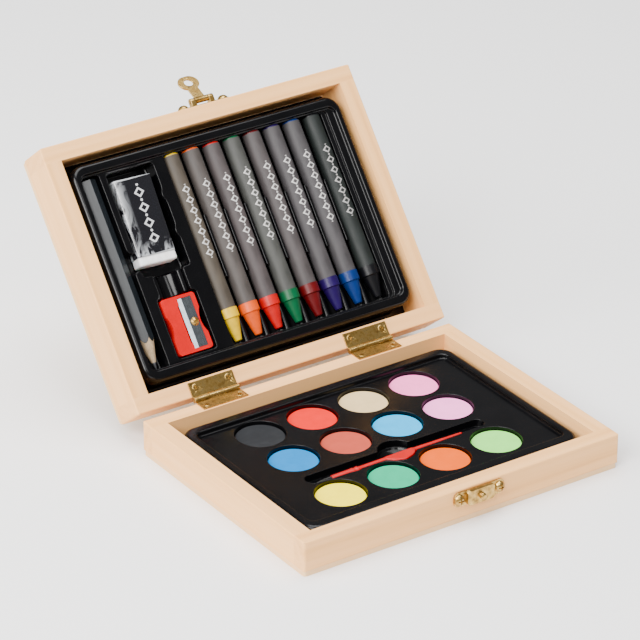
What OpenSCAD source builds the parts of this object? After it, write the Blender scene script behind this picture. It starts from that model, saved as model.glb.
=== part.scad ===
// Wooden gouache paint set, standing open: a shallow hinged box with a tray of twelve
// paint tablets and a brush in its base, and a tray of drawing tools in its lid.
// The origin is the centre of the base's underside. X runs along the hinges, +Y points
// to the hinge side and Z is up. The lid and what it holds are drawn closed, or in the
// lid's own tray coordinates, and then swung open about the hinge line.

/* [Box] */
// Width of the box, along the hinges
box_w = 170; // [168:1:190]
// Depth of the box, from the latch face to the hinge face
box_d = 129; // [128:1:145]
// Height of the base's walls
base_wall_h = 14.6; // [14.4:0.2:22]
// Height of the lid's walls
lid_wall_h = 18.7; // [18.2:0.1:26]
// Thickness of the left and right walls
side_t = 8.4; // [6.8:0.1:9]
// Thickness of the front and back walls
end_t = 7.8; // [7.2:0.1:8.2]
// Thickness of the bottom panel and of the lid's top panel
panel_t = 2.5; // [1.5:0.1:5]
// How far each panel's edge stands back from the walls' outer faces
panel_inset = 0.5; // [0:0.1:1.5]
// Radius of the box's upright outer edges
corner_r = 1.3; // [0.8:0.1:3]
// Radius of the walls' long outer edges
edge_r = 0.7; // [0.4:0.1:1.5]
// How far the lid stands open in the photographed pose, in degrees
lid_open = 129; // [60:1:145]

/* [Hinges] */
// Distance between the two hinges, centre to centre
hinge_spread = 85.2; // [60:0.2:110]
// How far the pair sits to the left of the box's middle
hinge_shift = 1.8; // [0:0.1:4]
// Width of a hinge
hinge_w = 24; // [20:0.5:30]
// Thickness of a hinge leaf
leaf_t = 0.6; // [0.5:0.05:0.9]
// Gap between the rims when the lid lies parallel to the base
rim_gap = 1.7; // [1.7:0.1:3]
// Distance from the back faces to the hinge axis
axis_out = 1.53; // [1.53:0.01:2.2]
// Radius of the rolled barrel
barrel_r = 1.45; // [1.3:0.05:1.45]
// Radius of the hinge pin
pin_r = 0.75; // [0.5:0.05:0.8]
// Distance between the two screws of a leaf
leaf_screw_pitch = 17.6; // [12:0.2:18]
// How far the leaf reaches onto the rim
leaf_reach = 7; // [6:0.1:7]

/* [Latch] */
// Place of the latch along the front, from the box's middle
latch_x = 6.8; // [-20:0.2:20]
// Height of the hasp's pin above the lid's rim
hasp_rise = 6.8; // [5:0.1:7.5]
// Depth of the catch's stud below the base's rim
stud_drop = 4.6; // [4:0.1:5.5]
// Length of the hasp and catch plates
plate_w = 27; // [25:0.5:32]
// Height of the hasp and catch plates
plate_h = 7; // [5.5:0.1:7.5]
// Thickness of the pressed plates
plate_t = 0.8; // [0.6:0.05:1]
// Distance between the two screws of a plate
plate_screw_pitch = 21.8; // [20.5:0.2:23]
// How far the hasp's pin stands out from the lid's face
hasp_out = 3.6; // [3.4:0.1:4]
// Radius of the hasp's barrel
hasp_barrel_r = 1.5; // [1.3:0.05:1.6]
// Radius of the hasp's pin
hasp_pin_r = 0.62; // [0.5:0.02:0.8]
// Width of the hasp's barrel with its two ears
hasp_barrel_w = 12.4; // [10.5:0.2:15]
// Width of the tongue's own barrel
tongue_barrel_w = 6.9; // [6:0.1:8]
// Width of the tongue's neck
neck_w = 5.4; // [4:0.1:6]
// Width of the tongue's ring
ring_w = 10.6; // [9:0.1:12.5]
// Length of the tongue's ring
ring_len = 8.4; // [7.4:0.1:9]
// Thickness of the tongue
tongue_t = 0.8; // [0.6:0.05:0.9]
// Radius of the hole in the ring
ring_hole_r = 2.2; // [2:0.05:2.6]
// Radius of the catch's stud
stud_r = 1.5; // [1.2:0.05:1.6]
// How far the stud stands out from the base's face
stud_out = 5; // [4.4:0.1:5.5]
// Width of the catch's raised bridge
bridge_w = 14.5; // [10:0.5:15.5]
// How far the bridge stands out from the base's face
bridge_out = 2.7; // [2:0.1:2.8]
// Tilt of the tongue from the lid face's normal towards the lid's top, in degrees
tongue_tilt = 30; // [0:1:60]

/* [Screws] */
// Radius of the flat screw heads in the hinge leaves
flat_head_r = 1.75; // [1.5:0.05:2]
// How far a flat head stands proud of its leaf
flat_head_proud = 0.15; // [0.05:0.05:0.15]
// Radius of the round screw heads on the plates
dome_head_r = 2.6; // [2:0.1:2.6]
// Height of the round screw heads
dome_head_h = 2.2; // [1.4:0.1:2.4]
// Radius of the screws' shanks
shank_r = 0.95; // [0.8:0.05:1.1]
// Length of the screws' shanks in the wood
shank_len = 5.5; // [4:0.5:6]

/* [Trays] */
// Thickness of the formed plastic sheet
sheet_t = 0.8; // [0.5:0.1:1]
// Clearance between a tray and the walls
tray_gap = 0.3; // [0.1:0.05:0.6]
// Width of a tray's foot flange along the sides
flange_x = 2.8; // [1.5:0.1:3.4]
// Width of a tray's foot flange along the front and back
flange_y = 4; // [2:0.1:4]
// Width of the paint tray's raised border along the sides
paint_border_x = 4.8; // [2.6:0.1:4.8]
// Width of the paint tray's raised border along the front and back
paint_border_y = 6.2; // [3:0.1:6.2]
// Depth of the paint tray's border below the base's rim
paint_border_drop = 3.2; // [2:0.1:4]
// Depth of the paint tray's deck below the base's rim
paint_deck_drop = 5.4; // [4.8:0.1:6]
// Width of the tool tray's raised border along the sides
tool_border_x = 3.8; // [2.6:0.1:3.8]
// Width of the tool tray's raised border along the front and back
tool_border_y = 5.1; // [4:0.1:5.1]
// Depth of the tool tray's border below the lid's rim
tool_border_drop = 1.5; // [1:0.1:2]
// Depth of the tool tray's deck below the lid's rim
tool_deck_drop = 3.4; // [2.8:0.1:4]
// Radius of the border's outer corners
border_r = 5.5; // [4.5:0.5:8]

/* [Paints] */
// Diameter of a paint tablet
tablet_d = 23; // [20:0.2:23.4]
// Depth of the tablets' tops below the rim
tablet_drop = 6.9; // [6.2:0.1:8]
// Clearance round a tablet at the bottom of its well
tablet_gap = 0.2; // [0.1:0.05:0.4]
// How much wider a well is at the deck than at its floor, on the radius
well_draft = 0.4; // [0.1:0.05:0.5]
// Distance between columns of wells
well_pitch_x = 28.2; // [26:0.1:30]
// Place of the back row of wells
row_back_y = 33.2; // [32:0.1:33.6]
// Place of the middle row of wells
row_mid_y = 6.6; // [5.8:0.1:7.2]
// Place of the front row of wells
row_front_y = -30.2; // [-33.6:0.1:-30]

/* [Brush] */
// Place of the brush slot's middle along the box
slot_x = -0.9; // [-3:0.1:3]
// Place of the brush slot's middle across the box
slot_y = -13; // [-13.1:0.1:-12.8]
// Width of the brush slot
slot_w = 6.5; // [6.2:0.1:6.8]
// Length of the brush slot
slot_len = 96.6; // [94:0.2:106]
// Depth of the slot's floor below the rim
slot_drop = 8.9; // [8.8:0.1:9.2]
// Radius of the finger well
finger_r = 8.7; // [8.6:0.1:9]
// Depth of the finger well's middle below the rim
finger_drop = 11.4; // [11:0.1:12.6]
// How far the finger well's floor is dished
finger_dish = 1.8; // [1:0.1:2]
// How far the finger well's centre lies behind the slot's centre
finger_back = 0.3; // [0:0.1:0.6]
// How far the brush lies in front of the slot's centre
brush_front = 3; // [2:0.1:3]
// Clearance round the brush where the slot is shaped to it
brush_gap = 0.25; // [0.15:0.05:0.35]
// Length of the brush's handle
handle_len = 71.1; // [60:0.1:78]
// Length of the ferrule
ferrule_len = 11; // [8:0.5:14]
// Width of the ferrule
ferrule_w = 3.2; // [2.8:0.1:3.4]
// Thickness of the handle
handle_t = 3.2; // [3:0.1:3.8]
// How far the thumb paddle reaches in front of the handle's middle
paddle_reach = 6; // [3:0.1:6.2]
// Distance from the ferrule's mouth to the paddle's widest point
paddle_x = 36.4; // [36.2:0.2:38]
// Length of the thumb paddle
paddle_len = 16; // [12:0.5:16.5]
// Width of the handle at its neck
neck_grip = 2.6; // [2:0.1:2.8]
// Width of the handle at its tail
tail_grip = 1.4; // [1:0.1:2]
// Length of the bristles outside the ferrule
bristle_len = 10.5; // [8:0.5:12]
// Diameter of the bristle tuft
bristle_d = 2.6; // [2:0.1:2.7]
// Clearance under the brush and under the lid's loose tools
seat_gap = 0.1; // [0.05:0.05:0.3]

/* [Crayons] */
// Number of crayons
crayon_n = 8; // [8:1:8]
// Diameter over a crayon's paper sleeve
crayon_d = 8.7; // [8:0.1:9.2]
// Diameter of the bare shoulder beyond the sleeve
shoulder_d = 9.4; // [9.2:0.1:9.5]
// Diameter of the cone's foot
cone_d = 8.1; // [7:0.1:9]
// Length of a crayon
crayon_len = 92; // [90:0.5:93]
// Distance between crayons
crayon_pitch = 11.2; // [11.1:0.01:11.3]
// Place of the first crayon
crayon_x = -19.6; // [-20:0.1:-19]
// Depth of the crayons' axes below the rim
crayon_drop = 7; // [6.8:0.1:8]
// Thickness of the paper sleeve
paper_t = 0.2; // [0.1:0.05:0.3]
// Length of the paper sleeve
sleeve_len = 75.5; // [60:0.5:76]
// Bare wax at the crayon's blunt end
butt_len = 0.9; // [0.4:0.1:2]
// Diameter of the crayon's blunted tip
tip_d = 3.6; // [2:0.1:4.5]
// Length of the tip's cone
tip_len = 10.5; // [8:0.1:12]
// Clearance round a crayon in its trough
trough_gap = 0.25; // [0.15:0.05:0.3]
// Length of the ribs between the crayons
rib_len = 31; // [20:1:40]
// Depth of the ribs' tops below the rim
rib_drop = 5; // [4.6:0.1:6]

/* [Pencil] */
// Width of the pencil across its flats
pencil_af = 7.2; // [6.4:0.1:7.4]
// Length of the pencil
pencil_len = 92.3; // [80:0.1:92.5]
// Diameter of the lead
lead_d = 2.2; // [2:0.1:3]
// Length of the sharpened cone
point_len = 15.5; // [10:0.5:20]
// Place of the pencil
pencil_x = -64.4; // [-64.6:0.1:-64.2]
// Width of the pencil's slot
pencil_slot_w = 9.7; // [9:0.1:10.2]

/* [Eraser] */
// Width of the eraser
eraser_w = 20.4; // [16:0.1:20.6]
// Length of the eraser
eraser_len = 41.2; // [39.4:0.1:42]
// Thickness of the eraser
eraser_t = 8.3; // [6:0.1:9]
// Length of the eraser that its wrapper covers
wrap_len = 37.2; // [28:0.2:39]
// Thickness of the wrapper
wrap_t = 0.25; // [0.1:0.05:0.4]
// Width of the eraser's pocket
eraser_pocket_w = 25; // [25:0.1:25.4]
// How far the eraser has turned in its pocket, in degrees
eraser_turn = 2.4; // [0:0.2:2.4]

/* [Sharpener] */
// Width of the sharpener
sharp_w = 18; // [17.8:0.1:18.6]
// Length of the sharpener
sharp_len = 27.2; // [26.6:0.1:27.6]
// Thickness of the sharpener
sharp_t = 9.1; // [8.8:0.1:9.6]
// How deep the sharpener's left side is waisted
waist_left = 1.4; // [0.5:0.1:1.8]
// How deep the sharpener's right side is waisted
waist_right = 1.6; // [0.5:0.1:1.8]
// Width of the blade
blade_w = 7; // [6.6:0.1:7.2]
// Length of the blade
blade_len = 23.9; // [20:0.1:24]
// Thickness of the blade
blade_t = 0.8; // [0.5:0.1:1]
// How far the blade lies to the right of the sharpener's middle
blade_shift = 3.1; // [2.8:0.1:3.1]
// Radius of the pencil hole's mouth
mouth_r = 3.5; // [3:0.1:3.6]

/* [Hidden] */
$fn = 64;
// Overlap that lets a cut run clear of the face it starts from
cut = 0.02;
// Fit between metal and wood or metal and metal that doesn't turn
snug = 0.05;
// Radial clearance of the turning pins
running = 0.03;
// Side clearance between turning knuckles
knuckle_gap = 0.15;

// Levels of the base and of the closed lid
base_rim_z = panel_t + base_wall_h;
lid_rim_z = base_rim_z + rim_gap;
cavity_w = box_w - 2 * side_t;
cavity_d = box_d - 2 * end_t;
axis_y = box_d / 2 + axis_out;
axis_z = base_rim_z + rim_gap / 2;
hinge_xs = [-hinge_shift - hinge_spread / 2, -hinge_shift + hinge_spread / 2];
leaf_y0 = box_d / 2 - leaf_reach;
leaf_screw_y = box_d / 2 - leaf_reach * 0.6;

// The closed lid leans forward until its front rim almost meets the base's
front_rim_gap = 0.18;
shut_extra = asin((rim_gap - front_rim_gap) / (box_d + axis_out));
// Height of the hasp's pin once the lid is shut, and the tongue's reach to the stud
shut_pin_z = axis_z + (lid_rim_z + hasp_rise - axis_z) * cos(shut_extra)
    - (box_d + axis_out + hasp_out) * sin(shut_extra);
stud_z = base_rim_z - stud_drop;
tongue_reach = shut_pin_z - stud_z;

// Border outlines of the two trays
border_w = cavity_w - 2 * flange_x;
border_d = cavity_d - 2 * flange_y;
paint_deck_w = border_w - 2 * paint_border_x;
paint_deck_d = border_d - 2 * paint_border_y;
tool_deck_w = border_w - 2 * tool_border_x;
tool_deck_d = border_d - 2 * tool_border_y;
deck_r = 3.6;

// Wells of the paint tray, in reading order from the back row
well_xs = [for (i = [-1.5:1:1.5]) i * well_pitch_x];
well_r = tablet_d / 2 + tablet_gap;
tablet_t = base_wall_h - sheet_t - tablet_drop;

// Brush, lying along the slot with its bristles to the left
brush_x0 = slot_x - slot_len / 2 + bristle_len + 1.3;
brush_y = slot_y - brush_front;
brush_z0 = -slot_drop + seat_gap;
// The tuft keeps its full width over this share of its length
tuft_full = 0.45;
tuft_socket = 5.8;
// Raised rings where the ferrule meets the handle
brush_ring_r = ferrule_w / 2 + 0.3;
brush_ring_w = 1.2;
brush_ring_pitch = 2.6;

// Crayon bay, from the deck's edge by the latch to its edge by the hinges
crayon_r = crayon_d / 2;
trough_r = shoulder_d / 2 + trough_gap;
bay_x0 = crayon_x - trough_r;
bay_x1 = crayon_x + (crayon_n - 1) * crayon_pitch + trough_r;
butt_y = tool_deck_d / 2 - 0.8;
ledge_w = 2.2;
ledge_drop = tool_deck_drop + 1.2;

// Floor that the pencil, the eraser and the sharpener lie on
kit_floor = 11.9;

// Pencil
pencil_slot_y0 = -tool_deck_d / 2 + 0.3;
pencil_slot_y1 = tool_deck_d / 2 - 1;
pencil_z = -kit_floor + seat_gap + pencil_af / sqrt(3);
pencil_butt_y = pencil_slot_y1 - 1.2;

// Eraser, sharpener and the finger notch between their pockets
kit_x = -43.5;
pocket_margin = 2.3;
eraser_pocket_len = 50.4;
eraser_pocket_y = tool_deck_d / 2 - pocket_margin - eraser_pocket_len / 2;
eraser_x = kit_x - 1.2;
eraser_y = eraser_pocket_y + 0.3;
eraser_z = -kit_floor + seat_gap + wrap_t + eraser_t / 2;
notch_w = 16;
notch_drop = 11;
notch_side = 2.2;
relief_drop = 9.5;
relief_r = 5.2;
relief_y = 2.9;
relief_in = 0.85;
sharp_pocket_w = 20.8;
sharp_pocket_len = 28.6;
sharp_x = kit_x - 0.5;
sharp_y = -tool_deck_d / 2 + pocket_margin + sharp_pocket_len / 2;
nub_r = 5;
nub_in = 1.1;
nub_ys = [-8.6, 9.2];
sharp_top = -kit_floor + seat_gap + sharp_t;
screw_shift = 1.3;

wood = [0.93, 0.80, 0.66];
end_wood = [0.90, 0.76, 0.60];
ply = [0.90, 0.86, 0.78];
brass = [0.78, 0.62, 0.30];
black_sheet = [0.07, 0.07, 0.08];
paper = [0.36, 0.34, 0.33];

// A rectangle with round corners, centred
module soft_rect(w, d, r) {
    square([w - 2 * r, d], center = true);
    square([w, d - 2 * r], center = true);
    for (x = [-1, 1], y = [-1, 1]) translate([x * (w / 2 - r), y * (d / 2 - r)]) circle(r);
}

// A plate with round corners, standing on z = 0
module soft_plate(w, d, h, r) {
    linear_extrude(h) soft_rect(w, d, r);
}

// A rod along X, centred
module rod_x(r, len) {
    rotate([0, 90, 0]) cylinder(r = r, h = len, center = true);
}

// Outer form of one half of the box: upright corners, ends and long edges all eased
module half_form(z0, h) {
    translate([0, 0, z0]) intersection() {
        soft_plate(box_w, box_d, h, corner_r);
        translate([0, 0, h / 2]) rotate([90, 0, 0])
            linear_extrude(box_d + 2, center = true) soft_rect(box_w, h, edge_r);
        translate([0, 0, h / 2]) rotate([90, 0, 90])
            linear_extrude(box_w + 2, center = true) soft_rect(box_d, h, edge_r);
    }
}

// The front or back wall runs the full width, the side walls butt between them
module end_wall(side, z0, h) {
    intersection() {
        half_form(z0, h);
        translate([-box_w / 2 - 1, side > 0 ? box_d / 2 - end_t : -box_d / 2 - 1, z0 - 1])
            cube([box_w + 2, end_t + 1, h + 2]);
    }
}

module side_wall(side, z0, h) {
    intersection() {
        half_form(z0, h);
        translate([side > 0 ? box_w / 2 - side_t : -box_w / 2 - 1, -cavity_d / 2, z0 - 1])
            cube([side_t + 1, cavity_d, h + 2]);
    }
}

module panel(z0) {
    translate([0, 0, z0])
        soft_plate(box_w - 2 * panel_inset, box_d - 2 * panel_inset, panel_t, corner_r);
}

// Swings what is drawn on the closed lid to the open pose
module open_lid() {
    translate([0, axis_y, axis_z]) rotate([-lid_open, 0, 0]) translate([0, -axis_y, -axis_z])
        children();
}

// Tray coordinates: z = 0 at the rim, the sheet below it, and the latch side to +Y
module in_lid() {
    open_lid() translate([0, 0, lid_rim_z]) rotate([180, 0, 0]) children();
}

// Tray coordinates of the base: z = 0 at the rim
module in_base() {
    translate([0, 0, base_rim_z]) children();
}

// Latch coordinates: z out of the front face, y up, centred on the latch
module on_front(z) {
    translate([latch_x, -box_d / 2, z]) rotate([90, 0, 0]) children();
}

// Holes for the hinge screws, from the rim into the wood
module hinge_pilots(z, up) {
    for (x = hinge_xs, s = [-1, 1])
        translate([x + s * leaf_screw_pitch / 2, leaf_screw_y, z])
            mirror([0, 0, up ? 0 : 1]) translate([0, 0, -cut])
                cylinder(r = shank_r + snug, h = shank_len + 0.5);
}

// Holes for the plate screws, from the front face into the wood
module plate_pilots(z) {
    on_front(z) for (s = [-1, 1]) translate([s * plate_screw_pitch / 2, 0, -shank_len - 0.5])
        cylinder(r = shank_r + snug, h = shank_len + 0.5 + cut);
}

module base_front_wall() {
    color(wood) difference() {
        end_wall(-1, panel_t, base_wall_h);
        plate_pilots(stud_z);
    }
}

module base_back_wall() {
    color(wood) difference() {
        end_wall(1, panel_t, base_wall_h);
        hinge_pilots(base_rim_z, false);
    }
}

module base_left_wall() { color(end_wood) side_wall(-1, panel_t, base_wall_h); }
module base_right_wall() { color(end_wood) side_wall(1, panel_t, base_wall_h); }
module base_bottom_panel() { color(ply) panel(0); }

module lid_front_wall() {
    color(wood) open_lid() difference() {
        end_wall(-1, lid_rim_z, lid_wall_h);
        plate_pilots(lid_rim_z + hasp_rise);
    }
}

module lid_back_wall() {
    color(wood) open_lid() difference() {
        end_wall(1, lid_rim_z, lid_wall_h);
        hinge_pilots(lid_rim_z, true);
    }
}

module lid_left_wall() { color(end_wood) open_lid() side_wall(-1, lid_rim_z, lid_wall_h); }
module lid_right_wall() { color(end_wood) open_lid() side_wall(1, lid_rim_z, lid_wall_h); }
module lid_top_panel() { color(ply) open_lid() panel(lid_rim_z + lid_wall_h); }

// The stock that a tray is pressed from: foot flange, raised border and sunk deck.
// children(0) is the pockets as they are, children(1) the pockets grown by the sheet.
module formed_tray(h, deck_w, deck_d, border_drop, deck_drop) {
    inner_w = border_w - 2 * sheet_t;
    inner_d = border_d - 2 * sheet_t;
    inner_r = border_r - sheet_t;
    difference() {
        union() {
            translate([0, 0, -h])
                soft_plate(cavity_w - 2 * tray_gap, cavity_d - 2 * tray_gap, sheet_t, 2);
            translate([0, 0, -h]) soft_plate(border_w, border_d, h - border_drop, border_r);
        }
        translate([0, 0, -deck_drop]) soft_plate(deck_w, deck_d, deck_drop, deck_r);
        difference() {
            union() {
                translate([0, 0, -h - cut])
                    soft_plate(inner_w, inner_d, h - deck_drop - sheet_t + cut, inner_r);
                difference() {
                    translate([0, 0, -deck_drop - sheet_t - cut])
                        soft_plate(inner_w, inner_d, deck_drop - border_drop + cut, inner_r);
                    translate([0, 0, -h])
                        soft_plate(deck_w + 2 * sheet_t, deck_d + 2 * sheet_t, h, deck_r + sheet_t);
                }
            }
            children(1);
        }
        children(0);
    }
}

// One well, tapering to its floor
module well(x, y, grow) {
    floor_z = -base_wall_h + sheet_t - grow;
    translate([x, y, floor_z])
        cylinder(r1 = well_r + grow, r2 = well_r + well_draft + grow, h = -paint_deck_drop - floor_z + cut);
}

// A trough with round ends along X
module trough_x(w, len, z0, z1) {
    translate([0, 0, z0]) linear_extrude(z1 - z0) {
        square([len - w, w], center = true);
        for (s = [-1, 1]) translate([s * (len - w) / 2, 0]) circle(d = w);
    }
}

// The finger well: an upright wall and a dished floor
module finger_cup(grow) {
    bowl_r = (finger_r * finger_r + finger_dish * finger_dish) / (2 * finger_dish);
    translate([0, slot_y + finger_back, -finger_drop - grow]) intersection() {
        cylinder(r = finger_r + grow, h = finger_drop - paint_deck_drop + grow + cut);
        translate([0, 0, bowl_r + grow]) sphere(r = bowl_r + grow);
    }
}

// The slot's front side follows the brush: its paddle, its ferrule and its tuft
module brush_recess(grow) {
    room = brush_gap + grow;
    tuft = bristle_d / 2 + room;
    tip = bristle_d * 0.2 + room;
    translate([brush_x0, brush_y, -slot_drop - grow])
        linear_extrude(slot_drop + grow - paint_deck_drop + cut) {
            polygon(handle_outline(room));
            translate([ferrule_len - brush_ring_w / 2 - room, -brush_ring_r - room])
                square([brush_ring_pitch + brush_ring_w + 2 * room, 2 * (brush_ring_r + room)]);
            polygon([
                [0, tuft], [0, -tuft], [-bristle_len * tuft_full, -tuft], [-bristle_len - room, -tip],
                [-bristle_len - room, tip], [-bristle_len * tuft_full, tuft]
            ]);
        }
}

module paint_pockets(grow) {
    for (x = well_xs, y = [row_back_y, row_mid_y, row_front_y]) well(x, y, grow);
    translate([slot_x, slot_y, 0])
        trough_x(slot_w + 2 * grow, slot_len + 2 * grow, -slot_drop - grow, -paint_deck_drop + cut);
    brush_recess(grow);
    finger_cup(grow);
}

module paint_tray() {
    color(black_sheet) in_base()
        formed_tray(base_wall_h, paint_deck_w, paint_deck_d, paint_border_drop, paint_deck_drop) {
            paint_pockets(0);
            paint_pockets(sheet_t);
        }
}

// Space for the row of crayons: one trough for each, cusps between them, and short ribs
module crayon_bay(grow) {
    len = tool_deck_d + 2 * grow;
    difference() {
        translate([bay_x0 - grow, -len / 2, -crayon_drop])
            cube([bay_x1 - bay_x0 + 2 * grow, len, crayon_drop - tool_deck_drop + cut]);
        if (grow == 0) for (i = [1:crayon_n - 1])
            translate([crayon_x + (i - 0.5) * crayon_pitch, 0, 0]) crayon_rib();
    }
    for (i = [0:crayon_n - 1])
        translate([crayon_x + i * crayon_pitch, 0, -crayon_drop]) rotate([90, 0, 0])
            cylinder(r = trough_r + grow, h = len, center = true);
    // Ledge that steps down beside the last crayon
    translate([bay_x1 - cut, -len / 2, -ledge_drop - grow])
        cube([ledge_w + cut + grow, len, ledge_drop - tool_deck_drop + grow + cut]);
}

module crayon_rib() {
    rib_w = crayon_pitch - 2 * trough_r;
    translate([-rib_w / 2, -rib_len / 2, -crayon_drop - cut])
        cube([rib_w, rib_len, crayon_drop - rib_drop - rib_w / 2 + cut]);
    translate([0, 0, -rib_drop - rib_w / 2]) rotate([90, 0, 0])
        cylinder(d = rib_w, h = rib_len, center = true);
}

// A pocket with round corners, and small nubs on its right side that steady what lies in it
module kit_pocket(w, len, nubs, grow) {
    translate([0, 0, -kit_floor - grow]) linear_extrude(kit_floor + grow - tool_deck_drop + cut)
        difference() {
            soft_rect(w + 2 * grow, len + 2 * grow, 2.5 + grow);
            for (y = nubs) translate([w / 2 + nub_r - nub_in, y]) circle(nub_r - grow);
        }
}

module pencil_slot(grow) {
    w = pencil_slot_w + 2 * grow;
    len = pencil_slot_y1 - pencil_slot_y0 + 2 * grow;
    translate([pencil_x, (pencil_slot_y0 + pencil_slot_y1) / 2, -kit_floor - grow])
        soft_plate(w, len, kit_floor + grow - tool_deck_drop + cut, 2 + grow);
    // Finger relief that opens the slot towards the eraser
    translate([pencil_x + pencil_slot_w / 2 - relief_in, relief_y, -relief_drop - grow])
        cylinder(r = relief_r + grow, h = relief_drop + grow - tool_deck_drop + cut);
}

// The neck between the two pockets, hollowed along its middle
module neck_channel(grow) {
    y0 = sharp_y + sharp_pocket_len / 2 - 1;
    y1 = eraser_pocket_y - eraser_pocket_len / 2 + 1;
    hollow_r = notch_w / 2 - notch_side;
    side_z = -notch_drop + hollow_r;
    translate([kit_x, (y0 + y1) / 2, 0]) {
        translate([-notch_w / 2 - grow, (y0 - y1) / 2, side_z - grow])
            cube([notch_w + 2 * grow, y1 - y0, grow - side_z - tool_deck_drop + cut]);
        translate([0, 0, side_z]) rotate([90, 0, 0])
            cylinder(r = hollow_r + grow, h = y1 - y0, center = true);
    }
}

module tool_pockets(grow) {
    crayon_bay(grow);
    pencil_slot(grow);
    neck_channel(grow);
    translate([kit_x, eraser_pocket_y, 0])
        kit_pocket(eraser_pocket_w, eraser_pocket_len, nub_ys, grow);
    translate([kit_x, sharp_y, 0]) kit_pocket(sharp_pocket_w, sharp_pocket_len, [], grow);
}

module tool_tray() {
    color(black_sheet) in_lid()
        formed_tray(lid_wall_h, tool_deck_w, tool_deck_d, tool_border_drop, tool_deck_drop) {
            tool_pockets(0);
            tool_pockets(sheet_t);
        }
}

// A pressed tablet of paint with an eased top edge
module tablet(column, y, tint) {
    ease = 0.5;
    color(tint) in_base() translate([well_xs[column], y, -tablet_drop - tablet_t]) {
        cylinder(d = tablet_d, h = tablet_t - ease);
        translate([0, 0, tablet_t - ease]) cylinder(d1 = tablet_d, d2 = tablet_d - 2 * ease, h = ease);
    }
}

module paint_charcoal() { tablet(0, row_back_y, [0.25, 0.26, 0.27]); }
module paint_coral() { tablet(1, row_back_y, [0.96, 0.44, 0.42]); }
module paint_sand() { tablet(2, row_back_y, [0.85, 0.81, 0.69]); }
module paint_pink() { tablet(3, row_back_y, [0.97, 0.72, 0.82]); }
module paint_azure() { tablet(0, row_mid_y, [0.0, 0.73, 0.96]); }
module paint_clay() { tablet(1, row_mid_y, [0.83, 0.52, 0.46]); }
module paint_sky() { tablet(2, row_mid_y, [0.50, 0.83, 0.93]); }
module paint_lilac() { tablet(3, row_mid_y, [0.90, 0.75, 0.87]); }
module paint_yellow() { tablet(0, row_front_y, [1.0, 0.94, 0.53]); }
module paint_mint() { tablet(1, row_front_y, [0.47, 0.82, 0.73]); }
module paint_orange() { tablet(2, row_front_y, [0.99, 0.65, 0.35]); }
module paint_lime() { tablet(3, row_front_y, [0.71, 0.88, 0.64]); }

// The handle's outline from above, with the thumb paddle on its front edge, grown by c
function handle_outline(c) = let (
    f = ferrule_w / 2 + c, g = neck_grip / 2 + c, t = tail_grip / 2 + c, p = paddle_reach + c,
    x = paddle_x, l = paddle_len + 2 * c, n = handle_len + c
) [
    [-c, f], [ferrule_len, f], [ferrule_len + ferrule_w / 2, g], [n - tail_grip, t], [n, t / 2],
    [n, -t / 2], [n - tail_grip, -t], [x + l / 2, -g], [x + 0.47 * l, -0.4 * p], [x + 0.33 * l, -0.72 * p],
    [x, -p], [x - 0.3 * l, -0.75 * p], [x - l / 2, -g], [ferrule_len + ferrule_w / 2, -g], [ferrule_len, -f],
    [-c, -f]
];

module brush_handle() {
    color([0.86, 0.13, 0.15]) in_base() translate([brush_x0, brush_y, brush_z0]) intersection() {
        difference() {
            union() {
                linear_extrude(handle_t) polygon(handle_outline(0));
                for (i = [0, 1]) translate([ferrule_len + i * brush_ring_pitch, 0, handle_t / 2])
                    rod_x(brush_ring_r, brush_ring_w);
            }
            translate([-cut, 0, handle_t / 2]) rotate([0, 90, 0])
                cylinder(d = bristle_d + 2 * snug, h = tuft_socket + snug);
        }
        translate([-1, -handle_len, 0]) cube([handle_len + 2, 2 * handle_len, handle_t + 1]);
    }
}

// The tuft fills the ferrule's socket and draws in to a flat tip
module brush_bristles() {
    full = bristle_len * tuft_full;
    color([0.06, 0.06, 0.06]) in_base()
        translate([brush_x0, brush_y, brush_z0 + handle_t / 2]) rotate([0, -90, 0]) {
            translate([0, 0, -tuft_socket]) cylinder(d = bristle_d, h = tuft_socket + full);
            translate([0, 0, full]) cylinder(d1 = bristle_d, d2 = bristle_d * 0.3, h = bristle_len - full);
        }
}

// A crayon's wax: a core under the paper, a bare shoulder and a blunted cone
module crayon(i, tint) {
    core_r = crayon_r - paper_t - snug;
    shoulder_y = butt_len + sleeve_len + snug;
    cone_y = crayon_len - tip_len;
    ease = 0.5;
    color(tint) in_lid() translate([crayon_x + i * crayon_pitch, butt_y, -crayon_drop])
        rotate([90, 0, 0]) rotate_extrude() polygon([
            [0, 0], [core_r - ease, 0], [core_r, ease], [core_r, shoulder_y],
            [shoulder_d / 2, shoulder_y], [shoulder_d / 2, cone_y - ease], [cone_d / 2, cone_y],
            [tip_d / 2, crayon_len - 0.3], [tip_d / 2 - 0.4, crayon_len], [0, crayon_len]
        ]);
}

module sleeve(i) {
    color(paper) in_lid() translate([crayon_x + i * crayon_pitch, butt_y - butt_len, -crayon_drop])
        rotate([90, 0, 0]) difference() {
            cylinder(r = crayon_r, h = sleeve_len);
            translate([0, 0, -cut]) cylinder(r = crayon_r - paper_t, h = sleeve_len + 2 * cut);
        }
}

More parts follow.
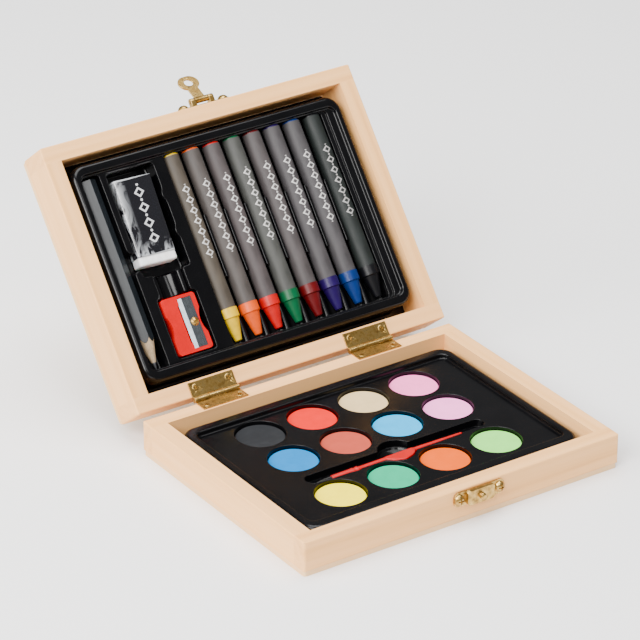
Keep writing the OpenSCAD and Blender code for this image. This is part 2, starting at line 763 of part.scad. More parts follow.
module crayon_yellow() { crayon(0, [0.99, 0.85, 0.10]); }
module crayon_orange() { crayon(1, [0.98, 0.52, 0.12]); }
module crayon_red() { crayon(2, [0.93, 0.16, 0.18]); }
module crayon_green() { crayon(3, [0.05, 0.55, 0.32]); }
module crayon_maroon() { crayon(4, [0.58, 0.12, 0.14]); }
module crayon_violet() { crayon(5, [0.28, 0.18, 0.55]); }
module crayon_blue() { crayon(6, [0.10, 0.30, 0.55]); }
module crayon_black() { crayon(7, [0.10, 0.10, 0.11]); }
module sleeve_yellow() { sleeve(0); }
module sleeve_orange() { sleeve(1); }
module sleeve_red() { sleeve(2); }
module sleeve_green() { sleeve(3); }
module sleeve_maroon() { sleeve(4); }
module sleeve_violet() { sleeve(5); }
module sleeve_blue() { sleeve(6); }
module sleeve_black() { sleeve(7); }

// Pencil coordinates: the blunt end at z = 0 and the point towards the hinges
module along_pencil() {
    in_lid() translate([pencil_x, pencil_butt_y, pencil_z]) rotate([90, 0, 0]) children();
}

// Cone of the sharpened point, with the tip at z = pencil_len
module point_cone(widen) {
    slope = (pencil_af / 2 + 0.5) / point_len;
    len = point_len + 6;
    translate([0, 0, pencil_len - len]) cylinder(r1 = slope * len + widen, r2 = 0.15 + widen, h = len);
}

// The hexagon lies with an edge down, and meets the cone in scallops
module pencil_barrel() {
    wood_end = pencil_len - 3.2;
    color([0.50, 0.52, 0.53]) along_pencil() difference() {
        intersection() {
            rotate([0, 0, 30]) cylinder(r = pencil_af / sqrt(3), h = wood_end, $fn = 6);
            union() {
                cylinder(r = pencil_af, h = pencil_len - point_len - 5);
                point_cone(0);
            }
        }
        translate([0, 0, -cut]) cylinder(d = lead_d + 2 * snug, h = pencil_len);
    }
}

module pencil_lead() {
    color([0.12, 0.12, 0.13]) along_pencil() intersection() {
        cylinder(d = lead_d, h = pencil_len);
        union() {
            cylinder(r = pencil_af, h = pencil_len - point_len);
            point_cone(0);
        }
    }
}

// Eraser coordinates: z runs along the block towards the hinges, its middle at the origin
module at_eraser() {
    in_lid() translate([eraser_x, eraser_y, eraser_z]) rotate([0, 0, -eraser_turn]) rotate([90, 0, 0])
        children();
}

module eraser_block() {
    color([0.93, 0.93, 0.92]) at_eraser() linear_extrude(eraser_len, center = true)
        soft_rect(eraser_w - 2 * wrap_t - 2 * snug, eraser_t - 2 * snug, 1.2);
}

// The wrapper is a sleeve that leaves the end by the sharpener bare
module eraser_wrapper() {
    bare = eraser_len - wrap_len;
    color([0.10, 0.11, 0.12]) at_eraser() translate([0, 0, -bare / 2])
        linear_extrude(wrap_len, center = true) difference() {
            soft_rect(eraser_w, eraser_t + 2 * wrap_t, 1.4);
            soft_rect(eraser_w - 2 * wrap_t, eraser_t, 1.2);
        }
}

// Sharpener coordinates: its middle at the origin and its top face at z = 0
module at_sharpener() {
    in_lid() translate([sharp_x, sharp_y, sharp_top]) children();
}

// A block with waisted sides, a tapering pencil hole and a seat for the blade
module sharpener_body() {
    waist_r = 12;
    hole_z = -mouth_r - 1;
    color([0.90, 0.14, 0.15]) at_sharpener() difference() {
        translate([0, 0, -sharp_t]) linear_extrude(sharp_t) difference() {
            soft_rect(sharp_w, sharp_len, 1.6);
            translate([waist_left - waist_r - sharp_w / 2, 0]) circle(waist_r);
            translate([sharp_w / 2 - waist_right + waist_r, 0]) circle(waist_r);
        }
        // The pencil hole enters from the hinge side
        translate([0, -sharp_len / 2 - cut, hole_z]) rotate([-90, 0, 0])
            cylinder(r1 = mouth_r, r2 = 1.3, h = sharp_len - 2);
        // Blade seat, and the window beside the cutting edge that lets shavings out
        translate([blade_shift - blade_w / 2 - 0.1, -blade_len / 2 - 0.1, -blade_t - 0.1])
            cube([blade_w + 0.2, blade_len + 0.2, blade_t + 0.2]);
        translate([blade_shift - blade_w / 2 - 0.9, -blade_len / 2 + 3, hole_z])
            cube([1.1, blade_len - 6, -hole_z + cut]);
        translate([blade_shift + screw_shift, 0, -7]) cylinder(r = 1.05, h = 8);
    }
}

// The blade has one bevelled edge and a hole for its screw
module sharpener_blade() {
    bevel = 2;
    color([0.72, 0.74, 0.76]) at_sharpener() translate([blade_shift, 0, -blade_t - 0.05]) difference() {
        rotate([90, 0, 0]) linear_extrude(blade_len, center = true) polygon([
            [-blade_w / 2, 0], [blade_w / 2, 0], [blade_w / 2, blade_t],
            [-blade_w / 2 + bevel, blade_t], [-blade_w / 2, 0.15]
        ]);
        translate([screw_shift, 0, -cut]) cylinder(r = 1.1, h = blade_t + 2 * cut);
    }
}

// A cross cut in a screw's head, with its floor at z = 0
module cross_cut(len, w, h) {
    for (a = [0, 90]) rotate([0, 0, a]) translate([-len / 2, -w / 2, 0]) cube([len, w, h]);
}

// A round-headed screw standing on z = 0 with its shank below
module dome_screw(head_r, head_h, below) {
    difference() {
        union() {
            intersection() {
                cylinder(r = head_r, h = head_h);
                ball_r = (head_r * head_r + head_h * head_h) / (2 * head_h) + 0.12;
                translate([0, 0, head_h - ball_r]) sphere(r = ball_r, $fn = 48);
            }
            translate([0, 0, -below]) cylinder(r = shank_r, h = below + 0.1);
        }
        translate([0, 0, head_h * 0.55]) cross_cut(head_r * 1.15, head_r * 0.24, head_h);
    }
}

module sharpener_screw() {
    color([0.80, 0.72, 0.56]) at_sharpener() translate([blade_shift + screw_shift, 0, snug - 0.05])
        dome_screw(2.1, 1.2, 6);
}

// A hinge leaf on the rim of the base, with the knuckles that belong to it.
// The base's leaf has the middle knuckle and the lid's leaf the outer two.
module leaf(middle) {
    third = hinge_w / 3;
    z0 = -rim_gap / 2;
    plate_y1 = -axis_out - 0.12;
    difference() {
        union() {
            translate([-hinge_w / 2, -axis_out - leaf_reach, z0])
                cube([hinge_w, leaf_reach + axis_out + plate_y1, leaf_t]);
            for (s = middle ? [0] : [-1, 1]) {
                w = middle ? third - knuckle_gap : third - knuckle_gap / 2;
                x = s * (hinge_w - w) / 2;
                translate([x, 0, 0]) rod_x(barrel_r, w);
                translate([x - w / 2, plate_y1 - 0.5, z0]) cube([w, -plate_y1 + 0.5, leaf_t]);
            }
        }
        rod_x(pin_r + running, hinge_w + 2);
        for (s = [-1, 1]) translate([s * leaf_screw_pitch / 2, leaf_screw_y - axis_y, z0]) {
            translate([0, 0, -cut]) cylinder(r = shank_r + snug, h = leaf_t + 2 * cut);
            translate([0, 0, -cut]) cylinder(r1 = shank_r + snug, r2 = flat_head_r + snug, h = leaf_t + 2 * cut);
        }
    }
}

// Hinge coordinates: the hinge axis through the origin
module at_hinges() {
    for (x = hinge_xs) translate([x, axis_y, axis_z]) children();
}

module hinge_base_leaves() { color(brass) at_hinges() leaf(true); }
module hinge_lid_leaves() { color(brass) open_lid() at_hinges() mirror([0, 0, 1]) leaf(false); }
module hinge_pins() { color(brass) at_hinges() rod_x(pin_r, hinge_w + 0.4); }

// A flat-headed screw with its head's rim level with the leaf's face at z = 0
module flat_screw() {
    difference() {
        union() {
            translate([0, 0, -leaf_t]) cylinder(r1 = shank_r, r2 = flat_head_r, h = leaf_t);
            cylinder(r1 = flat_head_r, r2 = flat_head_r - 0.5, h = flat_head_proud);
            translate([0, 0, -leaf_t - shank_len]) cylinder(r = shank_r, h = shank_len + 0.1);
        }
        translate([0, 0, -0.25]) cross_cut(flat_head_r * 1.2, 0.42, 1);
    }
}

module leaf_screws() {
    at_hinges() for (s = [-1, 1])
        translate([s * leaf_screw_pitch / 2, leaf_screw_y - axis_y, -rim_gap / 2 + leaf_t]) flat_screw();
}

module hinge_base_screws() { color(brass) leaf_screws(); }
module hinge_lid_screws() {
    color(brass) open_lid() translate([0, 0, 2 * axis_z]) mirror([0, 0, 1]) leaf_screws();
}

// The plate that the hasp and the catch share: two screw wings
module wing_plate() {
    difference() {
        soft_plate(plate_w, plate_h, plate_t, 2.6);
        for (s = [-1, 1]) translate([s * plate_screw_pitch / 2, 0, -cut])
            cylinder(r = shank_r + snug, h = plate_t + 2 * cut);
    }
}

module plate_screws() {
    for (s = [-1, 1]) translate([s * plate_screw_pitch / 2, 0, plate_t])
        dome_screw(dome_head_r, dome_head_h, plate_t + shank_len);
}

// Two ears on the plate carry the hasp's pin
module hasp_plate() {
    ear_w = (hasp_barrel_w - tongue_barrel_w) / 2 - knuckle_gap;
    color(brass) open_lid() on_front(lid_rim_z + hasp_rise) difference() {
        union() {
            wing_plate();
            for (s = [-1, 1]) translate([s * (hasp_barrel_w - ear_w) / 2, 0, 0]) {
                translate([0, 0, hasp_out]) rod_x(hasp_barrel_r, ear_w);
                translate([-ear_w / 2, -hasp_barrel_r, plate_t / 2])
                    cube([ear_w, 2 * hasp_barrel_r, hasp_out - plate_t / 2]);
            }
        }
        translate([0, 0, hasp_out]) rod_x(hasp_pin_r + running, hasp_barrel_w + 2);
    }
}

// The tongue: a barrel, a neck and a ring that drops over the stud
module hasp_tongue() {
    side = ring_w - ring_len;
    color(brass) open_lid() on_front(lid_rim_z + hasp_rise) translate([0, 0, hasp_out])
        rotate([-tongue_tilt, 0, 0]) difference() {
            union() {
                rod_x(hasp_barrel_r, tongue_barrel_w);
                rotate([90, 0, 0]) linear_extrude(tongue_t, center = true) {
                    translate([-neck_w / 2, 0]) square([neck_w, tongue_reach - 1]);
                    translate([0, tongue_reach]) {
                        square([side, ring_len], center = true);
                        for (s = [-1, 1]) translate([s * side / 2, 0]) circle(d = ring_len);
                    }
                }
            }
            rod_x(hasp_pin_r + running, tongue_barrel_w + 2);
            translate([0, 0, tongue_reach]) rotate([90, 0, 0])
                cylinder(r = ring_hole_r, h = tongue_t + 1, center = true);
        }
}

module hasp_pin() {
    color(brass) open_lid() on_front(lid_rim_z + hasp_rise) translate([0, 0, hasp_out])
        rod_x(hasp_pin_r, hasp_barrel_w + 0.4);
}

module hasp_screws() { color(brass) open_lid() on_front(lid_rim_z + hasp_rise) plate_screws(); }

// The catch: wings, a hollow pressed bridge and a round stud
module catch_plate() {
    color(brass) on_front(stud_z) {
        difference() {
            union() {
                wing_plate();
                soft_plate(bridge_w, plate_h, bridge_out, 1.5);
            }
            translate([0, 0, -cut])
                soft_plate(bridge_w - 2 * plate_t, plate_h - 2 * plate_t, bridge_out - plate_t + cut, 0.8);
        }
        translate([0, 0, bridge_out - plate_t / 2]) {
            cylinder(r = stud_r, h = stud_out - bridge_out + plate_t / 2 - 0.5);
            translate([0, 0, stud_out - bridge_out + plate_t / 2 - 0.5])
                cylinder(r1 = stud_r, r2 = stud_r - 0.6, h = 0.5);
        }
    }
}

module catch_screws() { color(brass) on_front(stud_z) plate_screws(); }

base_front_wall();
base_back_wall();
base_left_wall();
base_right_wall();
base_bottom_panel();
lid_front_wall();
lid_back_wall();
lid_left_wall();
lid_right_wall();
lid_top_panel();
paint_tray();
tool_tray();
paint_charcoal();
paint_coral();
paint_sand();
paint_pink();
paint_azure();
paint_clay();
paint_sky();
paint_lilac();
paint_yellow();
paint_mint();
paint_orange();
paint_lime();
brush_handle();
brush_bristles();
crayon_yellow();
crayon_orange();
crayon_red();
crayon_green();
crayon_maroon();
crayon_violet();
crayon_blue();
crayon_black();
sleeve_yellow();
sleeve_orange();
sleeve_red();
sleeve_green();
sleeve_maroon();
sleeve_violet();
sleeve_blue();
sleeve_black();
pencil_barrel();
pencil_lead();
eraser_block();
eraser_wrapper();
sharpener_body();
sharpener_blade();
sharpener_screw();
hinge_base_leaves();
hinge_lid_leaves();
hinge_pins();
hinge_base_screws();
hinge_lid_screws();
hasp_plate();
hasp_tongue();
hasp_pin();
hasp_screws();
catch_plate();
catch_screws();
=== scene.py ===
import math
import random
import bpy
from mathutils import Matrix, Vector, noise
from mathutils.geometry import delaunay_2d_cdt


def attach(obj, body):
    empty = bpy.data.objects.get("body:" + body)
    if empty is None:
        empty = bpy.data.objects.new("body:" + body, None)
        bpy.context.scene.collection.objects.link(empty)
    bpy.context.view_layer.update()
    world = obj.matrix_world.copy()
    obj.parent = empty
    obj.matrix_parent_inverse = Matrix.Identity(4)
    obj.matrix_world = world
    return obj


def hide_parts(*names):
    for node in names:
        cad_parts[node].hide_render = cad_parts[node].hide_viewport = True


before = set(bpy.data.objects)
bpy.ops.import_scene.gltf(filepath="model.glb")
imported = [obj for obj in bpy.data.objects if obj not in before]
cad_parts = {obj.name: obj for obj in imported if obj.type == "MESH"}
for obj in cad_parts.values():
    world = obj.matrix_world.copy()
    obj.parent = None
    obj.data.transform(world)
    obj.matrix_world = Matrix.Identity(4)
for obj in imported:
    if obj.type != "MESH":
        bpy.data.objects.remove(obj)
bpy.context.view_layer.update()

# Layout of the box, in millimetres
layout = {
    "baseRim": 17.1,  # height of the base's rim
    "lidRim": 18.8,  # height of the closed lid's rim
    "hinge": (0.0, 66.03, 17.95),  # a point on the hinge line
    "openDegrees": 129.0,
    "cavity": (153.2, 113.4),
    "room": 0.3,  # between the trays' flanges and the walls
    "border": (147.6, 105.4, 7.5),  # width, depth and corner radius of both trays' borders
    "borderEase": 2.2,  # round of the border's outer edge
}
mm = 0.001
hingePoint = Vector(layout["hinge"])
openTurn = Matrix.Rotation(math.radians(-layout["openDegrees"]), 4, "X")
openLid = Matrix.Translation(hingePoint) @ openTurn @ Matrix.Translation(-hingePoint)
flipOver = Matrix.Rotation(math.pi, 4, "X")
toMetres = Matrix.Scale(mm, 4)
# Tray coordinates: z = 0 at the rim, in millimetres
inBase = toMetres @ Matrix.Translation((0, 0, layout["baseRim"]))
inLid = toMetres @ openLid @ Matrix.Translation((0, 0, layout["lidRim"])) @ flipOver
closedLid = toMetres @ openLid


def camera():
    view = {
        "azimuth": -34.502, "elevation": 27.612, "roll": 0.249,
        "distance": 1.8359, "target": (0.030363, 0.092145, 0.0225), "lens": 220.97,
    }
    azimuth, elevation, roll = (math.radians(view[k]) for k in ("azimuth", "elevation", "roll"))
    back = Vector((
        math.sin(azimuth) * math.cos(elevation),
        -math.cos(azimuth) * math.cos(elevation),
        math.sin(elevation),
    ))
    right = (-back).cross(Vector((0, 0, 1))).normalized()
    up = right.cross(-back)
    rightRolled = right * math.cos(roll) + up * math.sin(roll)
    upRolled = up * math.cos(roll) - right * math.sin(roll)
    data = bpy.data.cameras.new("camera")
    data.lens = view["lens"]
    data.sensor_width = 36
    data.sensor_fit = "HORIZONTAL"
    data.clip_end = 20
    eye = bpy.data.objects.new("camera", data)
    turn = Matrix((rightRolled, upRolled, back)).transposed().to_4x4()
    eye.matrix_world = Matrix.Translation(Vector(view["target"]) + back * view["distance"]) @ turn
    bpy.context.scene.collection.objects.link(eye)
    bpy.context.scene.camera = eye


camera()
print("camera placed")


# Materials

def startFinish(name, colour=(0.8, 0.8, 0.8), rough=0.5, **sockets):
    material = bpy.data.materials.new(name)
    material.use_nodes = True
    tree = material.node_tree
    shader = tree.nodes["Principled BSDF"]
    shader.inputs["Base Color"].default_value = (*colour, 1)
    shader.inputs["Roughness"].default_value = rough
    for key, value in sockets.items():
        shader.inputs[key.replace("_", " ")].default_value = value
    return material, tree, shader


def addNode(tree, kind, inputs=None, **settings):
    node = tree.nodes.new("ShaderNode" + kind)
    for key, value in settings.items():
        setattr(node, key, value)
    for key, value in (inputs or {}).items():
        if isinstance(value, bpy.types.NodeSocket):
            tree.links.new(value, node.inputs[key])
        else:
            node.inputs[key].default_value = value
    return node


def figure(tree, operation, a, b=0.0):
    return addNode(tree, "Math", {0: a, 1: b}, operation=operation).outputs[0]


def plus(tree, value, extra, share):
    # The value with a share of something else on top
    return figure(tree, "ADD", value, figure(tree, "MULTIPLY", extra, share))


def objectPoint(tree):
    return addNode(tree, "TexCoord").outputs["Object"]


def trayPoint(tree, trayMatrix, centre=(0, 0, 0)):
    # Coordinates turned into tray millimetres, measured from centre
    back = trayMatrix.inverted()
    place = back.to_translation() - Vector(centre)
    turn = back.to_3x3().normalized().to_euler()
    mapping = addNode(tree, "Mapping", {"Vector": objectPoint(tree), "Location": place, "Rotation": turn,
                                        "Scale": (1 / mm, 1 / mm, 1 / mm)})
    return mapping.outputs[0]


def stretched(tree, point, scale):
    return addNode(tree, "Mapping", {"Vector": point, "Scale": scale}).outputs[0]


def piecePoint(tree):
    # The piece's own coordinates, in millimetres
    return stretched(tree, objectPoint(tree), (1 / mm, 1 / mm, 1 / mm))


def grain(tree, point, scale, detail=4.0, rough=0.55, distortion=0.0):
    node = addNode(tree, "TexNoise", {"Vector": point, "Scale": scale, "Detail": detail,
                                      "Roughness": rough, "Distortion": distortion})
    return node.outputs["Fac"]


def ramp(tree, value, stops):
    node = addNode(tree, "ValToRGB", {"Fac": value})
    line = node.color_ramp.elements
    while len(line) < len(stops):
        line.new(0.5)
    for element, (place, colour) in zip(line, stops):
        element.position = place
        element.color = (*colour, 1)
    return node.outputs["Color"]


def span(tree, value, low, high, toLow=0.0, toHigh=1.0):
    node = addNode(tree, "MapRange", {"Value": value, "From Min": low, "From Max": high,
                                      "To Min": toLow, "To Max": toHigh})
    return node.outputs[0]


def blendColours(tree, share, a, b):
    first, second = ((*tone, 1) if isinstance(tone, tuple) else tone for tone in (a, b))
    node = addNode(tree, "Mix", {0: share, 6: first, 7: second}, data_type="RGBA")
    return node.outputs[2]


def emboss(tree, shader, height, strength, distance):
    node = addNode(tree, "Bump", {"Height": height, "Strength": strength, "Distance": distance})
    tree.links.new(node.outputs[0], shader.inputs["Normal"])


woodLook = {
    "light": (0.93, 0.50, 0.19), "mid": (0.87, 0.445, 0.15), "dark": (0.74, 0.335, 0.10),
    "panelLight": (0.87, 0.57, 0.29), "panelDark": (0.76, 0.45, 0.20),
    "endGrain": (0.66, 0.34, 0.13), "endShare": 0.34, "poreShare": 0.28, "rough": 0.6,
    "along": 0.035,  # how much slower the figure changes along the fibres
    "streakShare": 0.45, "broadShare": 0.41, "ringShare": 0.14,
}


def woodFinish(name, along, ofLid, shift, panel=False):
    material, tree, shader = startFinish(name, woodLook["mid"], woodLook["rough"])
    place = closedLid if ofLid else toMetres
    # Each board is cut from its own place in the figure
    point = trayPoint(tree, place, (shift * 7.3, shift * 3.1, shift * 5.7))
    fibres = stretched(tree, point, (woodLook["along"], 1, 1) if along == "X" else (1, woodLook["along"], 1))
    streak = grain(tree, fibres, 0.42, 5, 0.6, 0.3)
    broad = grain(tree, fibres, 0.09, 2, 0.5, 0.8)
    heart = addNode(tree, "Mapping", {"Vector": fibres, "Location": (21 + shift * 4, 31, 24)}).outputs[0]
    rings = addNode(tree, "TexWave", {"Vector": heart, "Scale": 0.06, "Distortion": 6.0, "Detail": 2.0,
                                      "Detail Scale": 0.35},
                    wave_type="RINGS", rings_direction=along).outputs["Fac"]
    narrow = figure(tree, "MULTIPLY", streak, woodLook["streakShare"])
    wide = plus(tree, figure(tree, "MULTIPLY", broad, woodLook["broadShare"]), rings, woodLook["ringShare"])
    mixed = figure(tree, "ADD", narrow, wide)
    light = woodLook["panelLight" if panel else "light"]
    dark = woodLook["panelDark" if panel else "dark"]
    middle = woodLook["panelLight" if panel else "mid"]
    colour = ramp(tree, mixed, [(0.24, dark), (0.42, middle), (0.60, light)])
    pores = grain(tree, stretched(tree, fibres, (0.6, 1, 1) if along == "X" else (1, 0.6, 1)), 3.2, 2, 0.6)
    speck = figure(tree, "MULTIPLY", span(tree, pores, 0.62, 0.74), woodLook["poreShare"])
    colour = blendColours(tree, speck, colour, woodLook["dark"])
    # Faces that look along the fibres are end grain
    facing = addNode(tree, "TexCoord").outputs["Normal"]
    parts = addNode(tree, "SeparateXYZ", {0: facing}).outputs
    if along == "X":
        cross = figure(tree, "ABSOLUTE", parts[0])
    else:
        angle = math.radians(layout["openDegrees"] if ofLid else 0)
        turned = addNode(tree, "VectorRotate", {"Vector": facing, "Angle": angle},
                         rotation_type="X_AXIS").outputs[0]
        cross = figure(tree, "ABSOLUTE", addNode(tree, "SeparateXYZ", {0: turned}).outputs[1])
    endShare = span(tree, cross, 0.85, 0.97, 0.0, woodLook["endShare"])
    spots = ramp(tree, grain(tree, point, 1.7, 3, 0.7),
                 [(0.35, woodLook["endGrain"]), (0.65, woodLook["mid"])])
    colour = blendColours(tree, endShare, colour, spots)
    tree.links.new(colour, shader.inputs["Base Color"])
    tree.links.new(span(tree, streak, 0.3, 0.7, woodLook["rough"] + 0.08, woodLook["rough"] - 0.08),
                   shader.inputs["Roughness"])
    emboss(tree, shader, plus(tree, streak, pores, 0.6), 0.22, 0.0001)
    return material


sheetLook = {
    "base": {"shine": 0.2, "rough": 0.19}, "lid": {"shine": 0.23, "rough": 0.16},
    "deep": (0.0014, 0.0014, 0.0018), "pale": (0.0024, 0.0024, 0.0029),
}


def sheetFinish(half, trayMatrix):
    # Formed black sheet: a satin skin with faint handling marks
    rough = sheetLook[half]["rough"]
    material, tree, shader = startFinish("black sheet, " + half, sheetLook["deep"], rough,
                                         Specular_IOR_Level=sheetLook[half]["shine"])
    point = trayPoint(tree, trayMatrix)
    cloud = grain(tree, point, 0.06, 3, 0.5)
    fine = grain(tree, point, 3.5, 3, 0.6)
    scratch = grain(tree, stretched(tree, point, (0.12, 2.2, 1)), 0.8, 4, 0.7)
    tree.links.new(figure(tree, "ADD", span(tree, cloud, 0.3, 0.7, rough - 0.03, rough + 0.04),
                          span(tree, scratch, 0.6, 0.8, 0.0, 0.05)), shader.inputs["Roughness"])
    tint = ramp(tree, cloud, [(0.3, sheetLook["deep"]), (0.7, sheetLook["pale"])])
    tree.links.new(tint, shader.inputs["Base Color"])
    emboss(tree, shader, fine, 0.04, 0.00005)
    return material


def tabletFinish(name, colour):
    # Dry pressed paint: powdery and faintly mottled, with darker specks
    material, tree, shader = startFinish(name, colour, 0.82, Specular_IOR_Level=0.05)
    point = piecePoint(tree)
    mottle = grain(tree, point, 0.16, 4, 0.6)
    powder = grain(tree, point, 4.5, 3, 0.7)
    deep = tuple(c * 0.93 for c in colour)
    pale = tuple(min(1.0, c * 1.02 + 0.006) for c in colour)
    shade = ramp(tree, mottle, [(0.3, deep), (0.52, colour), (0.75, pale)])
    shade = blendColours(tree, span(tree, powder, 0.6, 0.8, 0.0, 0.16), shade, deep)
    tree.links.new(shade, shader.inputs["Base Color"])
    emboss(tree, shader, plus(tree, powder, mottle, 1.5), 0.25, 0.0001)
    return material


def waxFinish(name, colour):
    # Soft wax with a rubbed, slightly greasy skin
    material, tree, shader = startFinish(name, colour, 0.36, Specular_IOR_Level=0.25)
    point = piecePoint(tree)
    soft = grain(tree, point, 0.35, 3, 0.5)
    rub = grain(tree, point, 2.2, 4, 0.65)
    deep = tuple(c * 0.82 for c in colour)
    tree.links.new(ramp(tree, soft, [(0.3, deep), (0.6, colour)]), shader.inputs["Base Color"])
    tree.links.new(span(tree, rub, 0.3, 0.7, 0.28, 0.44), shader.inputs["Roughness"])
    emboss(tree, shader, figure(tree, "ADD", rub, soft), 0.18, 0.00012)
    return material


def lozengeChain(tree, across, along, look):
    # Small diamonds with a dot between each pair, inside a band of the length
    step = figure(tree, "DIVIDE", along, look["pitch"])
    inStep = figure(tree, "SUBTRACT", figure(tree, "FRACT", figure(tree, "ADD", step, 100.0)), 0.5)
    fromMiddle = figure(tree, "ABSOLUTE", inStep)
    side = figure(tree, "ABSOLUTE", across)
    diamond = figure(tree, "ADD", figure(tree, "DIVIDE", side, look["halfWidth"]),
                     figure(tree, "DIVIDE", fromMiddle, look["halfLength"]))
    shape = figure(tree, "SUBTRACT", span(tree, diamond, 1.06, 0.94), span(tree, diamond, 0.62, 0.5))
    toDot = figure(tree, "MULTIPLY", figure(tree, "SUBTRACT", 0.5, fromMiddle), look["pitch"])
    reach = figure(tree, "SQRT", figure(tree, "ADD", figure(tree, "POWER", side, 2.0),
                                        figure(tree, "POWER", toDot, 2.0)))
    dot = span(tree, reach, look["dot"] + 0.12, look["dot"] - 0.08)
    offMiddle = figure(tree, "ABSOLUTE", figure(tree, "SUBTRACT", along, look["middle"]))
    inBand = figure(tree, "LESS_THAN", offMiddle, look["reach"])
    return figure(tree, "MULTIPLY", figure(tree, "MAXIMUM", shape, dot), inBand)


sleeveLook = {
    "chain": {"pitch": 5.2, "halfWidth": 2.1, "halfLength": 0.36, "dot": 0.42, "middle": 33.8, "reach": 18.2},
    "ink": (0.74, 0.72, 0.70),
}


def sleeveFinish(name, colour, centre, inkShare):
    # Wrapped paper: flecked, slightly waxed, with a printed chain on top
    material, tree, shader = startFinish(name, colour, 0.62, Specular_IOR_Level=0.35)
    point = trayPoint(tree, inLid, centre)
    parts = addNode(tree, "SeparateXYZ", {0: point}).outputs
    fleck = grain(tree, point, 2.4, 4, 0.7)
    cloud = grain(tree, stretched(tree, point, (1, 0.35, 1)), 0.22, 4, 0.6)
    deep = tuple(c * 0.72 for c in colour)
    pale = tuple(min(1.0, c * 1.3) for c in colour)
    paper = ramp(tree, cloud, [(0.3, deep), (0.5, colour), (0.72, pale)])
    paper = blendColours(tree, span(tree, fleck, 0.62, 0.76, 0.0, 0.35), paper, pale)
    upward = figure(tree, "GREATER_THAN", parts[2], 0.0)
    along = figure(tree, "MULTIPLY", parts[1], -1.0)
    ink = figure(tree, "MULTIPLY", lozengeChain(tree, parts[0], along, sleeveLook["chain"]), upward)
    worn = figure(tree, "MULTIPLY", ink, span(tree, fleck, 0.34, 0.44, 0.35, inkShare))
    tree.links.new(blendColours(tree, worn, paper, sleeveLook["ink"]), shader.inputs["Base Color"])
    tree.links.new(span(tree, cloud, 0.3, 0.7, 0.5, 0.7), shader.inputs["Roughness"])
    emboss(tree, shader, plus(tree, fleck, cloud, 2.0), 0.2, 0.0001)
    return material


def plasticFinish(name, colour, rough=0.3):
    material, tree, shader = startFinish(name, colour, rough, Specular_IOR_Level=0.3)
    point = piecePoint(tree)
    flow = grain(tree, point, 0.14, 3, 0.5, 0.6)
    fine = grain(tree, point, 3.0, 3, 0.6)
    deep = tuple(c * 0.84 for c in colour)
    tree.links.new(ramp(tree, flow, [(0.3, deep), (0.65, colour)]), shader.inputs["Base Color"])
    tree.links.new(span(tree, fine, 0.3, 0.7, rough - 0.06, rough + 0.1), shader.inputs["Roughness"])
    emboss(tree, shader, plus(tree, fine, flow, 3.0), 0.07, 0.0001)
    return material


brassLook = {"dark": (0.24, 0.14, 0.035), "mid": (0.46, 0.29, 0.085), "light": (0.62, 0.42, 0.15),
             "pit": (0.22, 0.13, 0.05)}


def brassFinish(name):
    # Plated pressings: fine lengthwise brushing, cloudy tarnish and a few pits
    material, tree, shader = startFinish(name, brassLook["mid"], 0.28, Metallic=1.0)
    point = piecePoint(tree)
    cloud = grain(tree, point, 0.4, 4, 0.6)
    brush = grain(tree, stretched(tree, point, (0.15, 3, 3)), 2.0, 3, 0.6)
    pits = grain(tree, point, 5.5, 2, 0.5)
    shade = ramp(tree, cloud, [(0.32, brassLook["dark"]), (0.5, brassLook["mid"]),
                               (0.72, brassLook["light"])])
    shade = blendColours(tree, span(tree, pits, 0.66, 0.74, 0.0, 0.6), shade, brassLook["pit"])
    tree.links.new(shade, shader.inputs["Base Color"])
    tree.links.new(plus(tree, span(tree, cloud, 0.3, 0.7, 0.34, 0.18), brush, 0.12),
                   shader.inputs["Roughness"])
    emboss(tree, shader, plus(tree, brush, cloud, 1.5), 0.22, 0.0001)
    return material


def steelFinish(name, colour, rough):
    material, tree, shader = startFinish(name, colour, rough, Metallic=1.0)
    point = trayPoint(tree, inLid)
    brush = grain(tree, stretched(tree, point, (5, 0.15, 1)), 1.6, 3, 0.6)
    cloud = grain(tree, point, 0.5, 3, 0.5)
    tree.links.new(plus(tree, rough - 0.08, brush, 0.22), shader.inputs["Roughness"])
    deep = tuple(c * 0.8 for c in colour)
    tree.links.new(ramp(tree, cloud, [(0.3, deep), (0.7, colour)]), shader.inputs["Base Color"])
    emboss(tree, shader, brush, 0.12, 0.00005)
    return material


def dress(material, *nodeNames):
    # A CAD node keeps its shape and takes this finish
    for nodeName in nodeNames:
        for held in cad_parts[nodeName].material_slots:
            held.material = material


# Mesh tools: outlines are closed, anticlockwise lists of (x, y) in millimetres

def roundRect(width, depth, radius, centre=(0, 0), steps=9):
    points = []
    for turn, (sx, sy) in enumerate(((1, 1), (-1, 1), (-1, -1), (1, -1))):
        cx = centre[0] + sx * (width / 2 - radius)
        cy = centre[1] + sy * (depth / 2 - radius)
        for step in range(steps + 1):
            angle = math.pi / 2 * (turn + step / steps)
            points.append((cx + radius * math.cos(angle), cy + radius * math.sin(angle)))
    return points


def circleLine(radius, centre, steps=64):
    return [(centre[0] + radius * math.cos(2 * math.pi * i / steps),
             centre[1] + radius * math.sin(2 * math.pi * i / steps)) for i in range(steps)]


def evenLine(points, step, rounds):
    # Even spacing round the outline, then soft corners
    lengths = [math.dist(points[i], points[(i + 1) % len(points)]) for i in range(len(points))]
    total = sum(lengths)
    count = max(12, int(total / step))
    result, side, gone = [], 0, 0.0
    for i in range(count):
        want = total * i / count
        while gone + lengths[side] < want:
            gone += lengths[side]
            side += 1
        share = (want - gone) / lengths[side]
        a, b = points[side], points[(side + 1) % len(points)]
        result.append((a[0] + (b[0] - a[0]) * share, a[1] + (b[1] - a[1]) * share))
    for _ in range(rounds):
        result = [tuple((result[i - 1][k] + 2 * result[i][k] + result[(i + 1) % count][k]) / 4
                        for k in (0, 1)) for i in range(count)]
    return result


